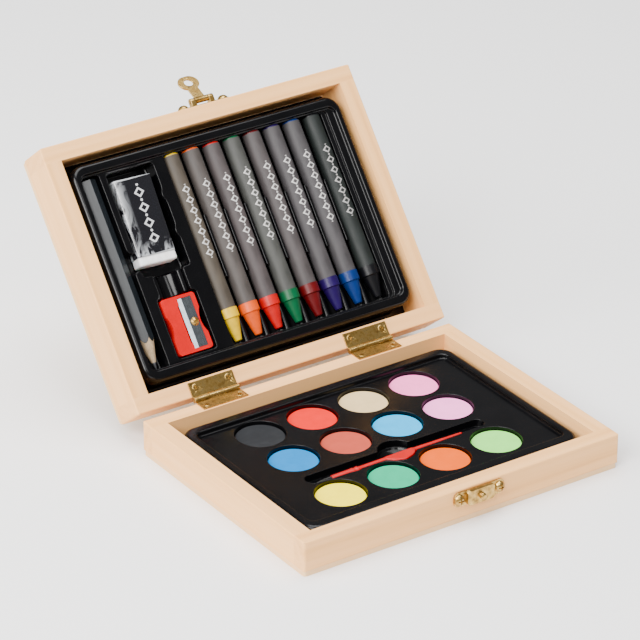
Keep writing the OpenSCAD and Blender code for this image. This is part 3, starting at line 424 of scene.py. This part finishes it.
def pushLine(points, grow):
    # The points move outwards along the outline's normal, all alike or each by its own amount
    count = len(points)
    amounts = grow if isinstance(grow, list) else [grow] * count
    result = []
    for i, ((x, y), amount) in enumerate(zip(points, amounts)):
        before, after = points[i - 1], points[(i + 1) % count]
        tx, ty = after[0] - before[0], after[1] - before[1]
        length = math.hypot(tx, ty) or 1.0
        result.append((x + amount * ty / length, y - amount * tx / length))
    return result


def insideLine(point, points):
    inside = False
    x, y = point
    for i in range(len(points)):
        (x1, y1), (x2, y2) = points[i - 1], points[i]
        if (y1 > y) != (y2 > y) and x < (x2 - x1) * (y - y1) / (y2 - y1) + x1:
            inside = not inside
    return inside


def newSkin():
    return {"verts": [], "faces": []}


def addRing(skin, points, z):
    start = len(skin["verts"])
    skin["verts"] += [(x, y, z) for x, y in points]
    return list(range(start, start + len(points)))


def joinRings(skin, rings):
    for a, b in zip(rings, rings[1:]):
        for i in range(len(a)):
            j = (i + 1) % len(a)
            skin["faces"].append((a[i], a[j], b[j], b[i]))


def addWall(skin, points, profile, firstRing=None):
    # A band of rings: each profile entry is how far the outline grows, and the height there
    rings = [firstRing] if firstRing else []
    for grow, z in profile:
        rings.append(addRing(skin, pushLine(points, grow) if grow else points, z))
    joinRings(skin, rings)
    return rings[-1]


def addLevel(skin, outer, holes, z, turnOver=False):
    # A flat level between an outer ring and the rings of the holes in it
    loops = [outer] + holes
    points, edges, origin = [], [], []
    for loop in loops:
        start = len(points)
        for i, index in enumerate(loop):
            points.append(Vector(skin["verts"][index][:2]))
            origin.append(index)
            edges.append((start + i, start + (i + 1) % len(loop)))
    made = delaunay_2d_cdt(points, edges, [], 1, 0.0001)
    lookup = [origin[sources[0]] if sources else None for sources in made[3]]
    for k, place in enumerate(made[0]):
        if lookup[k] is None:
            lookup[k] = len(skin["verts"])
            skin["verts"].append((place.x, place.y, z))
    outlines = [[skin["verts"][i][:2] for i in hole] for hole in holes]
    for face in made[2]:
        middle = sum((made[0][i] for i in face), Vector((0, 0))) / len(face)
        if any(insideLine(middle, outline) for outline in outlines):
            continue
        corners = tuple(lookup[i] for i in face)
        skin["faces"].append(corners[::-1] if turnOver else corners)


def curved(start, end, steps, convex=True):
    # A quarter round between two profile entries, for soft formed edges
    result = []
    for i in range(1, steps + 1):
        angle = math.pi / 2 * i / steps
        s, c = math.sin(angle), 1 - math.cos(angle)
        u, v = (s, c) if convex else (c, s)
        result.append((start[0] + (end[0] - start[0]) * u, start[1] + (end[1] - start[1]) * v))
    return result


def pocketProfile(top, floor, lip, foot, draft, bead=0.0, shoulder=0.6):
    profile = [(lip + shoulder, top)]
    if bead:
        profile += [(lip + shoulder * share, top + bead * high)
                    for share, high in ((0.6, 0.7), (0.25, 1.0), (0, 0.8))]
    else:
        profile += [(lip, top)]
    start = profile[-1]
    profile += curved(start, (0.0, top - lip), 4)
    low = floor + foot
    profile.append((-draft, low))
    profile += curved((-draft, low), (-draft - foot, floor), 4, False)
    return profile


def addPocket(skin, points, top, floor, **shape):
    # Returns the ring on the deck and the ring on the floor
    profile = pocketProfile(top, floor, **shape)
    first = len(skin["verts"])
    last = addWall(skin, points, profile)
    return list(range(first, first + len(points))), last


def addRaised(skin, points, low, top, ease):
    # A raised block with a soft top edge
    profile = [(0.0, low), (0.0, top - ease)] + curved((0.0, top - ease), (-ease, top), 4, False)
    addLevel(skin, addWall(skin, points, profile), [], top)


def placePiece(name, skin, matrix, material, body, replaced, weighted=True, thick=0.0):
    mesh = bpy.data.meshes.new(name)
    mesh.from_pydata([tuple(matrix @ Vector(v)) for v in skin["verts"]], [], skin["faces"])
    mesh.validate()
    mesh.materials.append(material)
    mesh.polygons.foreach_set("use_smooth", [True] * len(mesh.polygons))
    mesh.update()
    piece = bpy.data.objects.new(name, mesh)
    bpy.context.scene.collection.objects.link(piece)
    if thick:
        shell = piece.modifiers.new("sheet", "SOLIDIFY")
        shell.thickness = thick * mm
        shell.offset = -1
    if weighted:
        piece.modifiers.new("even shading", "WEIGHTED_NORMAL").weight = 60
    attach(piece, body)
    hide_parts(*replaced)


# Formed trays

def addTrayEdge(skin, height, borderTop, deckTop, deckSize):
    # Foot flange, outer skirt, raised border and the step down to the deck
    width, depth, radius = layout["border"]
    outer = roundRect(width, depth, radius)
    deck = roundRect(deckSize[0], deckSize[1], 3.6)
    flange = roundRect(*(side - 2 * layout["room"] for side in layout["cavity"]), 2.0)
    low, ease = -height + 0.8, layout["borderEase"]
    ring = addWall(skin, flange, [(0.0, -height), (0.0, low - 0.2), (-0.2, low)])
    skirt = [(0.9, low)] + curved((0.9, low), (0.0, low + 0.9), 3)
    skirt += [(0.0, borderTop - ease)] + curved((0.0, borderTop - ease), (-ease, borderTop), 7, False)
    ring = addWall(skin, outer, skirt, ring)
    step = [(0.75, borderTop)] + curved((0.75, borderTop), (0.0, borderTop - 0.75), 4)
    step += [(-0.15, deckTop + 0.7)] + curved((-0.15, deckTop + 0.7), (-0.85, deckTop), 4, False)
    return addWall(skin, deck, step, ring)


paints = {
    "rows": {"back": 33.2, "middle": 6.6, "front": -30.2},
    "pitch": 28.2, "wellRadius": 11.8, "floor": -13.8,
    "depth": 14.6, "borderTop": -3.2, "deckTop": -5.4, "deckSize": (138.0, 93.0), "sheet": 0.5,
    "colours": {
        "back": (("charcoal", (0.019, 0.020, 0.022)), ("coral", (0.70, 0.012, 0.008)),
                 ("sand", (0.64, 0.465, 0.235)), ("pink", (1.0, 0.225, 0.52))),
        "middle": (("azure", (0.0, 0.17, 0.44)), ("clay", (0.435, 0.068, 0.042)),
                   ("sky", (0.0, 0.37, 0.72)), ("lilac", (1.0, 0.295, 0.65))),
        "front": (("yellow", (1.0, 0.80, 0.0)), ("mint", (0.0, 0.37, 0.18)),
                  ("orange", (0.74, 0.10, 0.0)), ("lime", (0.23, 0.71, 0.135))),
    },
}

brushSlot = {
    "middle": (-0.9, -13.0), "length": 96.6, "width": 6.5, "floor": -8.9,
    "cup": (0.0, -12.7), "cupRadius": 8.7, "cupRim": -9.6, "cupFloor": -11.4,
    # The slot's front side, which follows the brush
    "front": ((-48.1, -16.7), (-42.1, -17.5), (-37.7, -17.8), (-27.4, -17.85), (-27.2, -18.2), (-22.9, -18.2),
              (-22.7, -17.6), (-9.3, -17.6), (-5.8, -20.5), (-1.0, -22.3), (4.5, -20.7), (6.9, -18.6),
              (7.5, -17.5), (32.6, -16.95), (34.2, -16.3)),
}


def slotAndCupLine():
    # The slot's outline with the finger cup's arc behind and the brush's shape in front
    (mx, my), half = brushSlot["middle"], brushSlot["width"] / 2
    cx, cy = brushSlot["cup"]
    radius = brushSlot["cupRadius"]
    reach = brushSlot["length"] / 2 - half
    points = [(mx + reach + half * math.cos(a), my + half * math.sin(a))
              for a in (math.pi * (i / 12 - 0.5) for i in range(13))]
    up = math.asin((my + half - cy) / radius)
    points += [(cx + radius * math.cos(a), cy + radius * math.sin(a))
               for a in (up + (math.pi - 2 * up) * i / 24 for i in range(25))]
    points += [(mx - reach + half * math.cos(a), my + half * math.sin(a))
               for a in (math.pi * (0.5 + i / 16) for i in range(13))]
    return evenLine(points + list(brushSlot["front"]), 0.5, 1)


def paintTray():
    skin = newSkin()
    top = paints["deckTop"]
    edge = addTrayEdge(skin, paints["depth"], paints["borderTop"], top, paints["deckSize"])
    holes = []
    for y in paints["rows"].values():
        for column in range(4):
            x = (column - 1.5) * paints["pitch"]
            ring, floor = addPocket(skin, circleLine(paints["wellRadius"], (x, y)), top, paints["floor"],
                                    lip=0.2, foot=0.5, draft=0.1, bead=0.1, shoulder=0.2)
            holes.append(ring)
            addLevel(skin, floor, [], paints["floor"])
    ring, floor = addPocket(skin, slotAndCupLine(), top, brushSlot["floor"], lip=0.15, foot=0.15, draft=0.0,
                            bead=0.08, shoulder=0.15)
    holes.append(ring)
    cup, deep = brushSlot["cupRadius"] - 0.6, brushSlot["cupFloor"]
    dish = circleLine(cup, brushSlot["cup"], 48)
    rings = [addRing(skin, dish, brushSlot["floor"])]
    for share in (0.98, 0.9, 0.75, 0.55, 0.35, 0.15):
        drop = deep + (brushSlot["cupRim"] - deep) * share ** 2
        rings.append(addRing(skin, circleLine(cup * share, brushSlot["cup"], 48), drop))
    joinRings(skin, rings)
    addLevel(skin, rings[-1], [], deep)
    addLevel(skin, floor, [rings[0]], brushSlot["floor"])
    addLevel(skin, edge, holes, top)
    placePiece("formed_paint_tray", skin, inBase, sheetFinish("base", inBase), "base",
               ("paint_tray",), thick=paints["sheet"])


toolBay = {
    "deckTop": -3.4, "kitFloor": -11.9, "bay": (-24.55, 63.75), "bayHalf": 47.0, "ledge": 2.2,
    "troughRadius": 4.95, "axisDepth": -7.0, "firstX": -19.6, "pitch": 11.2,
    "bayFloor": -12.0, "troughHalf": 46.2,
    "ribLength": 31.0, "ribTop": -5.0, "ribFoot": -10.0, "ribWidth": 1.3,
    "depth": 18.7, "borderTop": -1.5, "deckSize": (140.0, 95.2), "sheet": 0.45,
}

sill = {"size": (3.0, 9.0, 0.8), "place": (-57.8, 2.8), "top": -9.5}
saddle = {
    "middle": -43.5, "shoulder": ((7.6, -5.3), (6.3, -5.3), (5.8, -5.6)),
    "hollow": (5.6, 5.7),  # half width and depth of the round between the shoulders
    "ends": (-17.3, -4.5), "foot": -12.5,
}


def bump(y, centre, width):
    # A smooth swell, 1 at its centre
    return math.exp(-((y - centre) / width) ** 2)


def kitLine():
    # Pencil slot, eraser pocket, neck and sharpener pocket in one outline, open to each other at the relief
    corners = [(-69.2, -47.2), (-59.6, -47.2), (-59.6, -1.9), (-56.6, -1.2), (-56.0, -2.4), (-56.0, -5.1),
               (-51.5, -5.1), (-51.5, -16.7), (-53.9, -16.7), (-53.9, -45.3), (-33.1, -45.3), (-33.1, -16.7),
               (-35.5, -16.7), (-35.5, -5.1), (-31.0, -5.1), (-31.0, 45.3), (-56.0, 45.3), (-56.0, 6.2),
               (-59.6, 8.0), (-59.6, 46.5), (-69.2, 46.5)]
    result = []
    for x, y in evenLine(corners, 0.7, 4):
        if x > -33:
            x -= 1.1 * (bump(y, 11.5, 2.4) + bump(y, 29.3, 2.4))
        result.append((x, y))
    return result


def addCradle(skin):
    # Round troughs side by side, with a cusp between each pair
    radius, pitch = toolBay["troughRadius"], toolBay["pitch"]
    xs = []
    for i in range(8):
        centre = toolBay["firstX"] + i * pitch
        xs += [(centre + radius * math.sin(a), toolBay["axisDepth"] - radius * math.cos(a) - 0.02)
               for a in (math.pi * (k / 12 - 0.5) for k in range(1, 12))]
    ys = (-toolBay["troughHalf"], toolBay["troughHalf"])
    start = len(skin["verts"])
    for x, z in xs:
        skin["verts"] += [(x, ys[0], z), (x, ys[1], z)]
    for i in range(len(xs) - 1):
        a = start + 2 * i
        skin["faces"].append((a, a + 2, a + 3, a + 1))


def toolTray():
    skin = newSkin()
    top = toolBay["deckTop"]
    edge = addTrayEdge(skin, toolBay["depth"], toolBay["borderTop"], top, toolBay["deckSize"])
    low, high = toolBay["bay"]
    holes = []
    # The bay steps down over a ledge beside the last crayon
    ledge, tall = toolBay["ledge"], 2 * toolBay["bayHalf"]
    bay = roundRect(high - low + ledge, tall, 2.2, ((low + high + ledge) / 2, 0))
    well = roundRect(high - low - 0.4, tall - 0.4, 2.0, ((low + high) / 2, 0))
    first = len(skin["verts"])
    ring = addWall(skin, bay, pocketProfile(top, top - 1.3, lip=0.45, foot=0.3, draft=0.05)[:-1])
    holes.append(list(range(first, first + len(bay))))
    ring = addWall(skin, well, [(0.35, top - 1.3)] + curved((0.35, top - 1.3), (0.0, top - 1.65), 3)
                   + [(-0.2, -11.2)] + curved((-0.2, -11.2), (-0.9, toolBay["bayFloor"]), 3, False), ring)
    addLevel(skin, ring, [], toolBay["bayFloor"])
    addCradle(skin)
    for i in range(1, 8):
        x = toolBay["firstX"] + (i - 0.5) * toolBay["pitch"]
        rib = roundRect(toolBay["ribWidth"], toolBay["ribLength"], toolBay["ribWidth"] / 2 - 0.01, (x, 0), 6)
        addRaised(skin, rib, toolBay["ribFoot"], toolBay["ribTop"], 0.45)
    ring, floor = addPocket(skin, kitLine(), top, toolBay["kitFloor"], lip=0.3, foot=0.8, draft=0.1, bead=0.1,
                            shoulder=0.25)
    holes.append(ring)
    addLevel(skin, floor, [], toolBay["kitFloor"])
    addRaised(skin, roundRect(*sill["size"], sill["place"]), toolBay["kitFloor"] - 0.2, sill["top"], 0.5)
    # The neck's saddle, hollowed along its middle
    shoulder = saddle["shoulder"]
    halfWidth, deep = saddle["hollow"]
    profile = [(-x, z) for x, z in shoulder]
    profile += [(halfWidth * math.sin(a), shoulder[0][1] - deep * math.cos(a))
                for a in (math.pi * (k / 26 - 0.46) for k in range(25))]
    profile += list(shoulder[::-1])
    near, far = saddle["ends"]
    start = len(skin["verts"])
    for x, z in profile:
        section = ((near, saddle["foot"]), (near + 1.0, z - 0.5), (near + 1.5, z),
                   (far - 1.5, z), (far - 1.0, z - 0.5), (far, saddle["foot"]))
        skin["verts"] += [(saddle["middle"] + x, y, height) for y, height in section]
    for i in range(len(profile) - 1):
        for k in range(5):
            a = start + 6 * i + k
            skin["faces"].append((a, a + 6, a + 7, a + 1))
    addLevel(skin, edge, holes, top)
    placePiece("formed_tool_tray", skin, inLid, sheetFinish("lid", inLid), "lid",
               ("tool_tray",), thick=toolBay["sheet"])


paintTray()
toolTray()
print("trays formed")


# Wood

for part, ofLid in (("base", False), ("lid", True)):
    for number, (side, along) in enumerate((("front", "X"), ("back", "X"), ("left", "Y"), ("right", "Y"))):
        dress(woodFinish("planed wood, " + part + " " + side, along, ofLid, number + 1 + 5 * ofLid),
              part + "_" + side + "_wall")
dress(woodFinish("panel wood, base", "X", False, 11, True), "base_bottom_panel")
dress(woodFinish("panel wood, lid", "X", True, 14, True), "lid_top_panel")
print("wood finished")


# Paints

for row in paints["colours"].values():
    for name, colour in row:
        dress(tabletFinish("paint, " + name, colour), "paint_" + name)
print("paints finished")


# Brush

brush = {
    "place": (-37.4, -16.0, -6.8),  # mouth of the ferrule, in the base's tray coordinates
    "tilt": 0.6,  # degrees by which the tail rides up
    "stations": ((0.0, 1.4, 1.4), (0.3, 1.55, 1.55), (10.4, 1.6, 1.55), (10.6, 1.85, 1.6), (11.4, 1.85, 1.6),
                 (11.7, 1.45, 1.4), (12.9, 1.45, 1.4), (13.1, 1.85, 1.6), (13.9, 1.85, 1.6), (14.2, 1.3, 1.3),
                 (19.0, 1.3, 1.3), (27.0, 1.3, 1.3), (36.0, 1.3, 1.3), (45.0, 1.25, 1.2), (56.0, 1.05, 1.0),
                 (66.0, 0.8, 0.8), (70.4, 0.7, 0.7), (71.0, 0.4, 0.4)),
    "paddle": ((28.6, 0.9), (44.3, 0.9), (44.3, -1.2), (43.8, -2.3), (41.6, -4.2), (36.4, -5.9), (31.8, -4.2),
               (28.6, -1.2)),
    "paddleLevels": (-1.5, 1.4),
    "hairs": 170, "hairLength": 10.4, "hairThick": 0.085, "tuftRadius": 1.15,
    "rootDepth": 0.6,  # how far the hairs start inside the ferrule
    "stray": 0.06,  # how far a hair's end wanders
    "spiral": 2.39996,  # the golden angle, which spreads the hairs evenly
    "red": (0.48, 0.001, 0.003), "hairTones": ((0.006, 0.006, 0.006), (0.03, 0.027, 0.024)),
}


def alongBrush():
    return inBase @ Matrix.Translation(brush["place"]) @ Matrix.Rotation(math.radians(-brush["tilt"]), 4, "Y")


def brushHandle():
    skin = newSkin()
    count = 20
    rings = []
    for x, halfY, halfZ in brush["stations"]:
        start = len(skin["verts"])
        for i in range(count):
            angle = 2 * math.pi * i / count
            skin["verts"].append((x, halfY * math.cos(angle), halfZ * math.sin(angle)))
        rings.append(list(range(start, start + count)))
    for a, b in zip(rings, rings[1:]):
        joinRings(skin, [b, a])
    skin["faces"] += [tuple(rings[0]), tuple(rings[-1][::-1])]
    outline = evenLine(list(brush["paddle"])[::-1], 0.5, 3)
    low, high = brush["paddleLevels"]
    start = len(skin["verts"])
    profile = [(-0.5, low)] + curved((-0.5, low), (0.0, low + 0.5), 3) + [(0.0, high - 0.5)]
    profile += curved((0.0, high - 0.5), (-0.5, high), 3, False)
    last = addWall(skin, outline, profile)
    addLevel(skin, last, [], high)
    addLevel(skin, list(range(start, start + len(outline))), [], low, True)
    plastic = plasticFinish("red plastic, brush", brush["red"], 0.32)
    placePiece("moulded_brush_handle", skin, alongBrush(), plastic, "brush", ("brush_handle",))


def brushTuft():
    # Tapered hairs that belly out of the ferrule and draw in to a point
    dice = random.Random(7)
    skin = newSkin()
    length = brush["hairLength"]
    for number in range(brush["hairs"]):
        ring = math.sqrt((number + 0.5) / brush["hairs"])
        angle = number * brush["spiral"]
        reach = length * (0.9 + 0.1 * dice.random()) * (1 - 0.12 * ring)
        sections = []
        for step in range(6):
            share = step / 5
            spread = brush["tuftRadius"] * ring * (1.0 + 0.12 * math.sin(math.pi * share) - 0.72 * share ** 2)
            cx = brush["rootDepth"] - share * (reach + brush["rootDepth"])
            cy = spread * math.cos(angle) + brush["stray"] * dice.uniform(-1, 1) * share
            cz = spread * math.sin(angle) + brush["stray"] * dice.uniform(-1, 1) * share
            thick = brush["hairThick"] * (1 - 0.75 * share)
            start = len(skin["verts"])
            for k in range(3):
                turn = 2 * math.pi * k / 3 + angle
                skin["verts"].append((cx, cy + thick * math.cos(turn), cz + thick * math.sin(turn)))
            sections.append([start, start + 1, start + 2])
        joinRings(skin, sections)
        skin["faces"].append(tuple(sections[-1]))
    material, tree, shader = startFinish("black hair", brush["hairTones"][0], 0.45)
    point = piecePoint(tree)
    strandTone = grain(tree, stretched(tree, point, (0.1, 6, 6)), 1.0, 3, 0.6)
    tree.links.new(ramp(tree, strandTone, list(zip((0.3, 0.7), brush["hairTones"]))),
                   shader.inputs["Base Color"])
    placePiece("brush_hair_tuft", skin, alongBrush(), material, "brush", ("brush_bristles",),
               weighted=False)


brushHandle()
brushTuft()
print("brush made")


# Crayons

# Name, wax, sleeve paper and how much ink is left on the paper
crayons = (
    ("yellow", (0.62, 0.40, 0.0), (0.050, 0.040, 0.029), 0.62),
    ("orange", (0.64, 0.070, 0.0), (0.051, 0.043, 0.039), 0.62),
    ("red", (0.42, 0.001, 0.002), (0.048, 0.039, 0.039), 0.62),
    ("green", (0.0, 0.080, 0.026), (0.043, 0.044, 0.040), 0.62),
    ("maroon", (0.085, 0.001, 0.002), (0.048, 0.041, 0.041), 0.62),
    ("violet", (0.010, 0.001, 0.055), (0.043, 0.039, 0.041), 0.62),
    ("blue", (0.0, 0.019, 0.115), (0.041, 0.038, 0.040), 0.62),
    ("black", (0.002, 0.002, 0.003), (0.006, 0.009, 0.008), 0.40),
)
buttY = 46.8  # the crayons' flat ends
for number, (name, wax, paper, inkShare) in enumerate(crayons):
    dress(waxFinish("wax, " + name, wax), "crayon_" + name)
    centre = (toolBay["firstX"] + number * toolBay["pitch"], buttY, toolBay["axisDepth"])
    dress(sleeveFinish("sleeve paper, " + name, paper, centre, inkShare), "sleeve_" + name)
print("crayons finished")


# Pencil

pencil = {
    "axis": (-64.4, 0.0, -7.643),  # a point on the pencil's middle line, in the lid's tray coordinates
    "cutFrom": -26.0, "halfAcross": 3.56,
    "lacquer": ((0.007, 0.009, 0.011), (0.012, 0.015, 0.018)), "lacquerShine": 0.22,
    "cedar": ((0.26, 0.18, 0.10), (0.46, 0.34, 0.21)), "graphite": (0.16, 0.16, 0.17),
}


def pencilFinish():
    # Dark lacquer on the hexagon, bare cedar where the sharpener has cut it
    material, tree, shader = startFinish("pencil lacquer", pencil["lacquer"][1],
                                         Specular_IOR_Level=pencil["lacquerShine"])
    point = trayPoint(tree, inLid, pencil["axis"])
    parts = addNode(tree, "SeparateXYZ", {0: point}).outputs
    widest = None
    for degrees in (0, 60, 120):
        turn = math.radians(degrees)
        across = figure(tree, "MULTIPLY", parts[0], math.cos(turn))
        upward = figure(tree, "MULTIPLY", parts[2], math.sin(turn))
        reach = figure(tree, "ABSOLUTE", figure(tree, "ADD", across, upward))
        widest = reach if widest is None else figure(tree, "MAXIMUM", widest, reach)
    bare = figure(tree, "MULTIPLY", span(tree, widest, pencil["halfAcross"], pencil["halfAcross"] - 0.06),
                  figure(tree, "LESS_THAN", parts[1], pencil["cutFrom"]))
    lacquer = ramp(tree, grain(tree, stretched(tree, point, (1, 0.1, 1)), 0.8, 3, 0.6),
                   list(zip((0.3, 0.7), pencil["lacquer"])))
    cedar = ramp(tree, grain(tree, stretched(tree, point, (3, 0.25, 3)), 0.8, 4, 0.6, 0.4),
                 list(zip((0.3, 0.6), pencil["cedar"])))
    tree.links.new(blendColours(tree, bare, lacquer, cedar), shader.inputs["Base Color"])
    tree.links.new(span(tree, bare, 0.0, 1.0, 0.26, 0.75), shader.inputs["Roughness"])
    emboss(tree, shader, grain(tree, stretched(tree, point, (3, 0.3, 3)), 1.2, 3, 0.6), 0.15, 0.0001)
    return material


dress(pencilFinish(), "pencil_barrel")
dress(steelFinish("graphite", pencil["graphite"], 0.42), "pencil_lead")
print("pencil finished")


# Eraser

eraser = {
    "middle": (-44.7, 20.4, -7.4), "turn": -2.4, "size": (19.8, 8.2), "length": 41.2,
    "wrapSize": (20.4, 8.8), "wrapLength": 37.2,
    "white": (0.80, 0.80, 0.79), "dust": (0.66, 0.65, 0.63),
}


def alongEraser(shift=0.0):
    # Turns outlines drawn in x and z so that their heights run along the eraser, towards the hinges
    turn = Matrix.Rotation(math.radians(eraser["turn"]), 4, "Z") @ Matrix.Rotation(math.pi / 2, 4, "X")
    return inLid @ Matrix.Translation(eraser["middle"]) @ turn @ Matrix.Translation((0, 0, shift))


def eraserBlock():
    skin = newSkin()
    half = eraser["length"] / 2
    outline = evenLine(roundRect(*eraser["size"], 1.3), 0.6, 1)
    # It is a little slimmer where the film covers it
    slim, bare = -0.6, half - (eraser["length"] - eraser["wrapLength"])
    profile = [(-1.5, -half + 0.4)] + curved((-1.5, -half + 0.4), (slim, -half + 1.3), 4)
    profile += [(slim, 0.0), (slim, bare - 0.6), (-0.1, bare), (0.0, half - 0.8)]
    profile += curved((0.0, half - 0.8), (-0.8, half), 4, False)
    start = len(skin["verts"])
    last = addWall(skin, outline, profile)
    addLevel(skin, last, [], half)
    addLevel(skin, list(range(start, start + len(outline))), [], -half + 0.4, True)
    material, tree, shader = startFinish("white rubber", eraser["white"], 0.6, Subsurface_Weight=0.1,
                                         Subsurface_Scale=0.001)
    point = piecePoint(tree)
    dust = grain(tree, point, 0.5, 4, 0.6)
    tree.links.new(ramp(tree, dust, [(0.3, eraser["dust"]), (0.6, eraser["white"])]),
                   shader.inputs["Base Color"])
    emboss(tree, shader, dust, 0.15, 0.0002)
    placePiece("soft_eraser", skin, alongEraser(), material, "eraser", ("eraser_block",))


# The pale grey serves both the clear film at its ends and the painted sheen on its left side
film = {
    "black": (0.004, 0.004, 0.006), "clear": (0.50, 0.52, 0.54), "ink": (0.60, 0.61, 0.62),
    "steps": 64, "thick": 0.08, "mostFold": 0.13,
    "origin": (-44.7, 22.4, 0.0),  # what the print is measured from, in the lid's tray coordinates
    "lean": 0.042,  # how far the print moves sideways for each millimetre along the eraser
    "chainAcross": 1.2, "topFrom": -6.0, "clearShare": 0.68, "endShare": 0.75, "inkShare": 0.85,
    "chain": {"pitch": 7.4, "halfWidth": 2.7, "halfLength": 0.34, "dot": 0.6, "middle": 1.0, "reach": 14.2},
}


def eraserWrapper():
    # Thin film drawn tight round the block, puckered towards its ends
    skin = newSkin()
    bare = eraser["length"] - eraser["wrapLength"]
    half = eraser["wrapLength"] / 2
    width, thick = eraser["wrapSize"]
    outline = evenLine(roundRect(width - 0.3, thick - 0.3, 1.5), 0.5, 1)
    steps, most = film["steps"], film["mostFold"]
    rings = []
    for step in range(steps + 1):
        level = -half + 2 * half * step / steps
        ends = abs(2 * step / steps - 1) ** 3
        folds = []
        for x, y in outline:
            at = Vector((x * 0.16 + level * 0.05, y * 0.3, level * 0.13 - x * 0.05))
            fold = 1 - abs(noise.noise(at * 1.3)) * 2.4
            small = noise.noise(Vector((x, y, level)) * 0.5)
            folds.append(min(most * max(-1.0, fold) * (0.45 + 0.55 * ends) - 0.02 + 0.03 * small, most))
        rings.append(addRing(skin, pushLine(outline, folds), level))
    joinRings(skin, rings)
    material, tree, shader = startFinish("black film", film["black"], 0.1, Coat_Weight=0.5,
                                         Coat_Roughness=0.05)
    point = trayPoint(tree, inLid, film["origin"])
    parts = addNode(tree, "SeparateXYZ", {0: point}).outputs
    leaning = figure(tree, "SUBTRACT", parts[0], figure(tree, "MULTIPLY", parts[1], film["lean"]))
    across = figure(tree, "SUBTRACT", leaning, film["chainAcross"])
    onTop = figure(tree, "GREATER_THAN", parts[2], film["topFrom"])
    ink = figure(tree, "MULTIPLY", lozengeChain(tree, across, parts[1], film["chain"]), onTop)
    haze = grain(tree, stretched(tree, point, (1, 0.45, 1)), 0.16, 4, 0.6, 1.4)
    # Painted highlight: the film's left side is painted a lighter grey, streaked by the haze, as its sheen;
    # near its open end the film is clear and the white shows through
    left = span(tree, leaning, -4.5, -9.6)
    foot = span(tree, parts[1], -11.5, -17.5)
    clear = figure(tree, "MULTIPLY", figure(tree, "MAXIMUM", left, foot), span(tree, haze, 0.44, 0.56))
    ends = span(tree, figure(tree, "ABSOLUTE", parts[1]), 17.9, 18.3)
    clear = figure(tree, "MAXIMUM", figure(tree, "MULTIPLY", clear, film["clearShare"]),
                   figure(tree, "MULTIPLY", ends, film["endShare"]))
    colour = blendColours(tree, clear, film["black"], film["clear"])
    colour = blendColours(tree, figure(tree, "MULTIPLY", ink, film["inkShare"]), colour, film["ink"])
    tree.links.new(colour, shader.inputs["Base Color"])
    tree.links.new(span(tree, haze, 0.3, 0.7, 0.06, 0.16), shader.inputs["Roughness"])
    emboss(tree, shader, grain(tree, point, 0.2, 2, 0.5, 0.7), 0.3, 0.0004)
    placePiece("crinkled_eraser_film", skin, alongEraser(-bare / 2), material, "eraser",
               ("eraser_wrapper",), thick=film["thick"], weighted=False)


eraserBlock()
eraserWrapper()
print("eraser made")


# Sharpener

sharpener = {"red": (0.50, 0.001, 0.002), "steel": (0.30, 0.33, 0.36), "steelRough": 0.22}
dress(plasticFinish("red plastic, sharpener", sharpener["red"]), "sharpener_body")
dress(steelFinish("blade steel", sharpener["steel"], sharpener["steelRough"]), "sharpener_blade")
dress(brassFinish("sharpener screw"), "sharpener_screw")
print("sharpener finished")


# Fittings

brass = brassFinish("brass")
dress(brass, "hinge_base_leaves", "hinge_lid_leaves", "hinge_pins", "hinge_base_screws", "hinge_lid_screws",
      "hasp_plate", "hasp_tongue", "hasp_pin", "hasp_screws", "catch_plate", "catch_screws")
print("fittings finished")

# Small rounds that catch the light on the pressed and moulded pieces
softEdges = {"sharpener_body": 0.35, "hasp_tongue": 0.18, "hasp_plate": 0.15, "catch_plate": 0.2,
             "hinge_base_leaves": 0.1, "hinge_lid_leaves": 0.1}
for nodeName, width in softEdges.items():
    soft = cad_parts[nodeName].modifiers
    soft.new("joined skin", "WELD").merge_threshold = 0.01 * mm
    edge = soft.new("soft edges", "BEVEL")
    edge.width = width * mm
    edge.segments = 2
    edge.limit_method = "ANGLE"
    edge.angle_limit = math.radians(40)
    soft.new("even shading", "WEIGHTED_NORMAL")
print("edges softened")


# Studio

def softBox(name, place, aim, width, height, power, tint):
    data = bpy.data.lights.new(name, "AREA")
    data.shape = "RECTANGLE"
    data.size = width
    data.size_y = height
    data.energy = power
    data.color = tint
    lamp = bpy.data.objects.new(name, data)
    lamp.location = place
    lamp.rotation_euler = (Vector(aim) - Vector(place)).to_track_quat("-Z", "Y").to_euler()
    bpy.context.scene.collection.objects.link(lamp)


studioLook = {
    "floorReach": 6.0, "floorTones": ((0.865, 0.865, 0.865), (0.875, 0.875, 0.875)), "sky": 0.3,
    # Name, place, aim, width, height, power and tint
    "lights": (
        ("key light", (-1.2, -0.56, 1.16), (0.02, 0.05, 0.03), 1.0, 1.0, 52, (1.0, 0.985, 0.97)),
        ("side light", (-1.5, 0.45, 0.85), (0.02, 0.05, 0.03), 1.0, 0.9, 34, (1, 1, 1)),
        ("blade light", (-0.22, -1.17, 1.33), (-0.04, 0.1, 0.1), 0.5, 0.5, 6, (1, 1, 1)),
        ("top light", (0.1, 0.1, 1.7), (0.02, 0.05, 0.0), 1.4, 1.4, 52, (1, 1, 1)),
    ),
}


def studio():
    reach = studioLook["floorReach"]
    corners = [(-reach, -reach, 0), (reach, -reach, 0), (reach, reach, 0), (-reach, reach, 0)]
    mesh = bpy.data.meshes.new("floor")
    mesh.from_pydata(corners, [], [(0, 1, 2, 3)])
    material, tree, shader = startFinish("pale floor", rough=0.9, Specular_IOR_Level=0.1)
    faint = grain(tree, objectPoint(tree), 0.8, 2, 0.5)
    tree.links.new(ramp(tree, faint, list(zip((0.2, 0.8), studioLook["floorTones"]))),
                   shader.inputs["Base Color"])
    mesh.materials.append(material)
    floor = bpy.data.objects.new("floor", mesh)
    bpy.context.scene.collection.objects.link(floor)
    for light in studioLook["lights"]:
        softBox(*light)
    world = bpy.data.worlds.new("studio")
    world.use_nodes = True
    sky = world.node_tree.nodes["Background"].inputs
    sky["Color"].default_value = (1, 1, 1, 1)
    sky["Strength"].default_value = studioLook["sky"]
    bpy.context.scene.world = world


studio()
print("studio lit")
